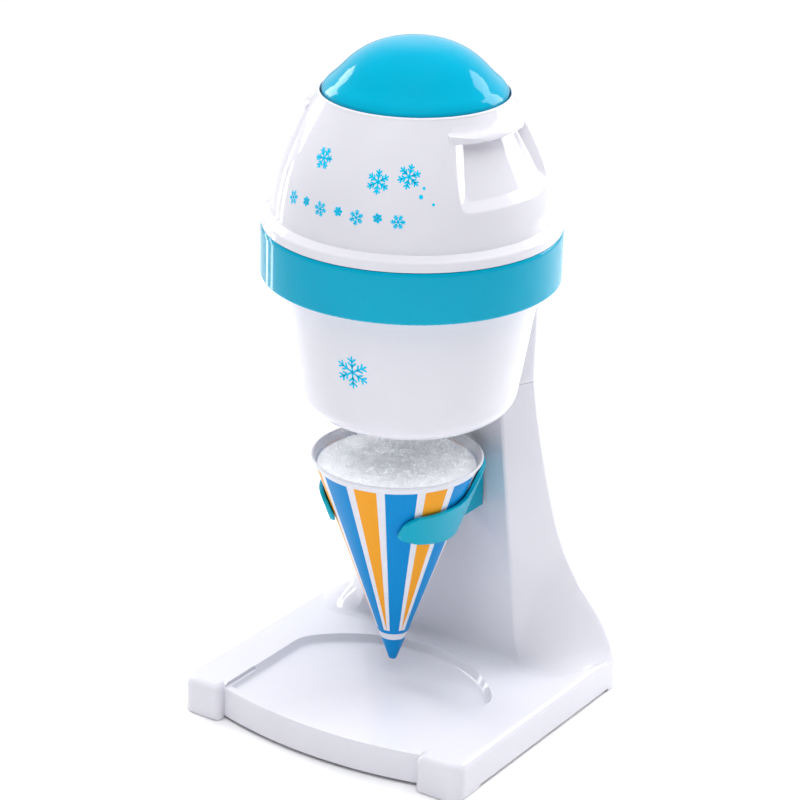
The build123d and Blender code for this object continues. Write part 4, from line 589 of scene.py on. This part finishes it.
def stroke(path, width):
    """A round-ended ribbon along a short path, as flat quads and caps: (points, faces)."""
    points, faces = [], []
    dense = []
    for start, end in zip(path, path[1:]):
        pieces = max(1, math.ceil((end - start).length / (0.7 * MM)))
        dense += [start.lerp(end, step / pieces) for step in range(pieces)]
    dense.append(path[-1])
    for index, point in enumerate(dense):
        before = dense[max(0, index - 1)]
        after = dense[min(len(dense) - 1, index + 1)]
        along = (after - before).normalized()
        side = Vector((-along.y, along.x)) * width / 2
        points += [point + side, point - side]
    for index in range(len(dense) - 1):
        first = 2 * index
        faces.append((first, first + 1, first + 3, first + 2))
    for index in (0, len(dense) - 1):
        other = dense[1] if index == 0 else dense[-2]
        along = (dense[index] - other).normalized()
        side = Vector((-along.y, along.x))
        fan = [len(points)]
        points.append(dense[index])
        for step in range(7):
            turn = math.pi * step / 6 - math.pi / 2
            fan.append(len(points))
            points.append(dense[index] + (along * math.cos(turn) + side * math.sin(turn)) * width / 2)
        faces += [(fan[0], fan[i], fan[i + 1]) for i in range(1, 7)]
    return points, faces


def disc(centre, radius, steps=16):
    """A filled round dot: (points, faces)."""
    turns = [math.tau * step / steps for step in range(steps)]
    points = [centre] + [centre + Vector((math.cos(turn), math.sin(turn))) * radius for turn in turns]
    return points, [(0, 1 + s, 1 + (s + 1) % steps) for s in range(steps)]


def snowflake(centre, radius, width, tilt=0.0):
    """Six arms, each with two pairs of short branches."""
    strokes = []
    for arm in range(6):
        angle = tilt + math.tau * arm / 6
        along = Vector((math.cos(angle), math.sin(angle)))
        strokes.append(stroke([centre, centre + along * radius], width))
        for reach, length in ((0.38, 0.30), (0.66, 0.30)):
            root = centre + along * radius * reach
            for side in (-1, 1):
                turn = angle + side * math.radians(48)
                tip = root + Vector((math.cos(turn), math.sin(turn))) * radius * length
                strokes.append(stroke([root, tip], width))
    return strokes


INK_LIFT = 0.05 * MM
ROUGH_RADIUS = 70 * MM
OUTSIDE_RADIUS = 200 * MM


def lay_print(name, marks, surface, azimuth, height, body):
    """Wraps flat marks, in metres right and up of a point on the surface, round the machine's axis as ink."""
    def land(point, radius):
        angle = azimuth + point.x / radius
        outward = Vector((math.cos(angle), math.sin(angle), 0))
        origin = outward * OUTSIDE_RADIUS + Vector((0, 0, height + point.y))
        return surface.ray_cast(origin, -outward)[:2]

    first_mark, _ = marks[0]
    first_hit, _ = land(first_mark[0], ROUGH_RADIUS)
    radius = math.hypot(first_hit.x, first_hit.y)
    mesh = bmesh.new()
    for points, faces in marks:
        made = []
        for point in points:
            hit, normal = land(point, radius)
            made.append(mesh.verts.new(hit + normal * INK_LIFT))
        for face in faces:
            mesh.faces.new([made[i] for i in face])
    bmesh.ops.recalc_face_normals(mesh, faces=mesh.faces)
    for face in mesh.faces:
        outward = Vector((face.calc_center_median().x, face.calc_center_median().y, 0))
        if face.normal.dot(outward) < 0:
            face.normal_flip()
    return new_piece(name, mesh, INK, body)


def ink(name):
    """Screen-printed ink: even colour with pinholes and a slightly matte, raised film."""
    look = Look(name, IOR=1.5, Specular_IOR_Level=0.25)
    pin = look.noise(3200.0, 2.0)
    look.set("Base Color", look.mix(look.span(pin, 0.3, 0.75), rgb(0, 196, 238), rgb(0, 206, 248)))
    look.set("Roughness", look.span(look.noise(500.0, 2.0), 0.3, 0.7, 0.24, 0.34))
    look.bump(pin, 0.000006)
    return look.material


INK = ink("turquoise_ink")
dome = surface_of("head_shell")
bowl = surface_of("upper_housing")
HERE = Vector((0, 0))

# Each mark's azimuth from +X in degrees, height and radius in mm, and for the big flakes a tilt in radians.
FLAKES = ((-102.7, 313.7, 5.0, 0.10), (-72.4, 308.4, 5.4, 0.52), (-58.7, 311.6, 5.4, 0.30))
DOTS = ((-52.1, 306.6, 0.75), (-53.4, 302.8, 1.05), (-48.2, 299.2, 0.75))
BAND = ((-115.0, 291.5, 3.4), (-106.0, 292.4, 2.2), (-97.5, 291.2, 3.6), (-88.5, 292.2, 2.2),
        (-80.0, 291.0, 3.6), (-71.0, 292.0, 2.2), (-62.5, 291.0, 3.4))
for index, (azimuth, height, radius, tilt) in enumerate(FLAKES, 1):
    marks = snowflake(HERE, radius * MM, 0.85 * MM, tilt)
    lay_print(f"snowflake_print_{index}", marks, dome, math.radians(azimuth), height * MM, "head")
for index, (azimuth, height, radius) in enumerate(DOTS, 1):
    marks = [disc(HERE, radius * MM)]
    lay_print(f"dot_print_{index}", marks, dome, math.radians(azimuth), height * MM, "head")
for index, (azimuth, height, radius) in enumerate(BAND, 1):
    marks = snowflake(HERE, radius * MM, 0.6 * MM, 0.3 * index)
    lay_print(f"band_print_{index}", marks, dome, math.radians(azimuth), height * MM, "head")
badge = snowflake(HERE, 8.6 * MM, 1.05 * MM, math.pi / 6)
lay_print("badge_print", badge, bowl, math.radians(-84.0), 207.5 * MM, "stand")


# ------------------------------------------------------------------ floor, light and camera
def floor_look():
    """Matt seamless paper with a faint unevenness."""
    look = Look("pale_floor")
    look.set("Base Color", look.mix(look.noise(3.0, 2.0), rgb(250, 250, 251), rgb(253, 253, 254)))
    look.set("Roughness", look.span(look.noise(40.0, 2.0), 0.3, 0.7, 0.7, 0.8))
    return look.material


FLOOR_HALF_WIDTH = 9.0


def build_floor():
    """The pale floor that the machine stands on."""
    mesh = bmesh.new()
    bmesh.ops.create_grid(mesh, x_segments=2, y_segments=2, size=FLOOR_HALF_WIDTH)
    data = bpy.data.meshes.new("floor")
    mesh.to_mesh(data)
    mesh.free()
    data.materials.append(floor_look())
    floor = bpy.data.objects.new("floor", data)
    bpy.context.scene.collection.objects.link(floor)


def around(azimuth, elevation):
    """The direction from the machine towards an azimuth (0 in front, 90 to the right) and an elevation."""
    a, e = math.radians(azimuth), math.radians(elevation)
    return Vector((math.sin(a) * math.cos(e), -math.cos(a) * math.cos(e), math.sin(e)))


LIGHT_AIM_HEIGHT = 0.18


def softbox(name, azimuth, elevation, distance, width, height, power, mirrored=True):
    """A rectangular light that faces the machine's middle; mirrored says whether glossy surfaces show it."""
    aim = Vector((0, 0, LIGHT_AIM_HEIGHT))
    data = bpy.data.lights.new(name, "AREA")
    data.shape = "RECTANGLE"
    data.size, data.size_y = width, height
    data.energy = power
    light = bpy.data.objects.new(name, data)
    light.location = aim + around(azimuth, elevation) * distance
    light.rotation_mode = "QUATERNION"
    light.rotation_quaternion = (light.location - aim).to_track_quat("Z", "Y")
    light.visible_glossy = mirrored
    bpy.context.scene.collection.objects.link(light)


WALL_ELEVATION = 25
WALL_EDGE, WALL_FULL = 0.1, 0.8
ROOM_GLOW, WALL_GLOW = 0.26, 1.05


def studio():
    """A dim room with a pale wall behind the machine, soft lights above and in front, and side panels."""
    world = bpy.data.worlds.new("studio")
    world.use_nodes = True
    tree = world.node_tree
    background = tree.nodes["Background"]
    place = tree.nodes.new("ShaderNodeTexCoord")
    behind = tree.nodes.new("ShaderNodeVectorMath")
    behind.operation = "DOT_PRODUCT"
    behind.inputs[1].default_value = -around(math.degrees(VIEW_AZIMUTH), WALL_ELEVATION)
    ramp = tree.nodes.new("ShaderNodeMapRange")
    ramp.interpolation_type = "SMOOTHSTEP"
    ramp.inputs["From Min"].default_value = WALL_EDGE
    ramp.inputs["From Max"].default_value = WALL_FULL
    ramp.inputs["To Min"].default_value = ROOM_GLOW
    ramp.inputs["To Max"].default_value = WALL_GLOW
    tree.links.new(place.outputs["Generated"], behind.inputs[0])
    tree.links.new(behind.outputs["Value"], ramp.inputs["Value"])
    tree.links.new(ramp.outputs["Result"], background.inputs["Strength"])
    background.inputs["Color"].default_value = (0.95, 0.96, 1.0, 1)
    bpy.context.scene.world = world
    softbox("top_box", -147, 78, 4.0, 3.6, 3.6, 128.0, mirrored=False)
    softbox("key_box", 30, 62, 1.6, 1.0, 1.0, 11.5, mirrored=False)
    softbox("fill_box", -10, 4, 1.8, 1.2, 0.5, 2.2, mirrored=False)
    softbox("left_strip_front", -91, -2, 0.64, 0.045, 0.3, 0.22)
    softbox("left_strip_back", -101, -2, 0.64, 0.045, 0.3, 0.22)
    softbox("left_panel", -97, 26, 0.72, 0.2, 0.3, 1.5)
    softbox("right_panel", 152, 22, 1.3, 0.52, 0.95, 10.0)


def camera():
    """The view from the front right and above, with its slight roll."""
    target = Vector((math.cos(VIEW_AZIMUTH), math.sin(VIEW_AZIMUTH), 0)) * VIEW_SIDE_STEP
    target.z = VIEW_TARGET_HEIGHT
    back = around(math.degrees(VIEW_AZIMUTH), math.degrees(VIEW_ELEVATION))
    right = Vector((math.cos(VIEW_AZIMUTH), math.sin(VIEW_AZIMUTH), 0))
    up = back.cross(right)
    rolled_right = right * math.cos(VIEW_ROLL) + up * math.sin(VIEW_ROLL)
    rolled_up = up * math.cos(VIEW_ROLL) - right * math.sin(VIEW_ROLL)
    data = bpy.data.cameras.new("camera")
    data.sensor_width = 36.0
    data.lens = VIEW_LENS
    data.clip_start, data.clip_end = 0.05, 40.0
    view = bpy.data.objects.new("camera", data)
    axes = Matrix((rolled_right, rolled_up, back)).transposed()
    view.matrix_world = Matrix.Translation(target + back * VIEW_DISTANCE) @ axes.to_4x4()
    bpy.context.scene.collection.objects.link(view)
    bpy.context.scene.camera = view
    bpy.context.scene.view_settings.view_transform = "Standard"


build_floor()
studio()
camera()
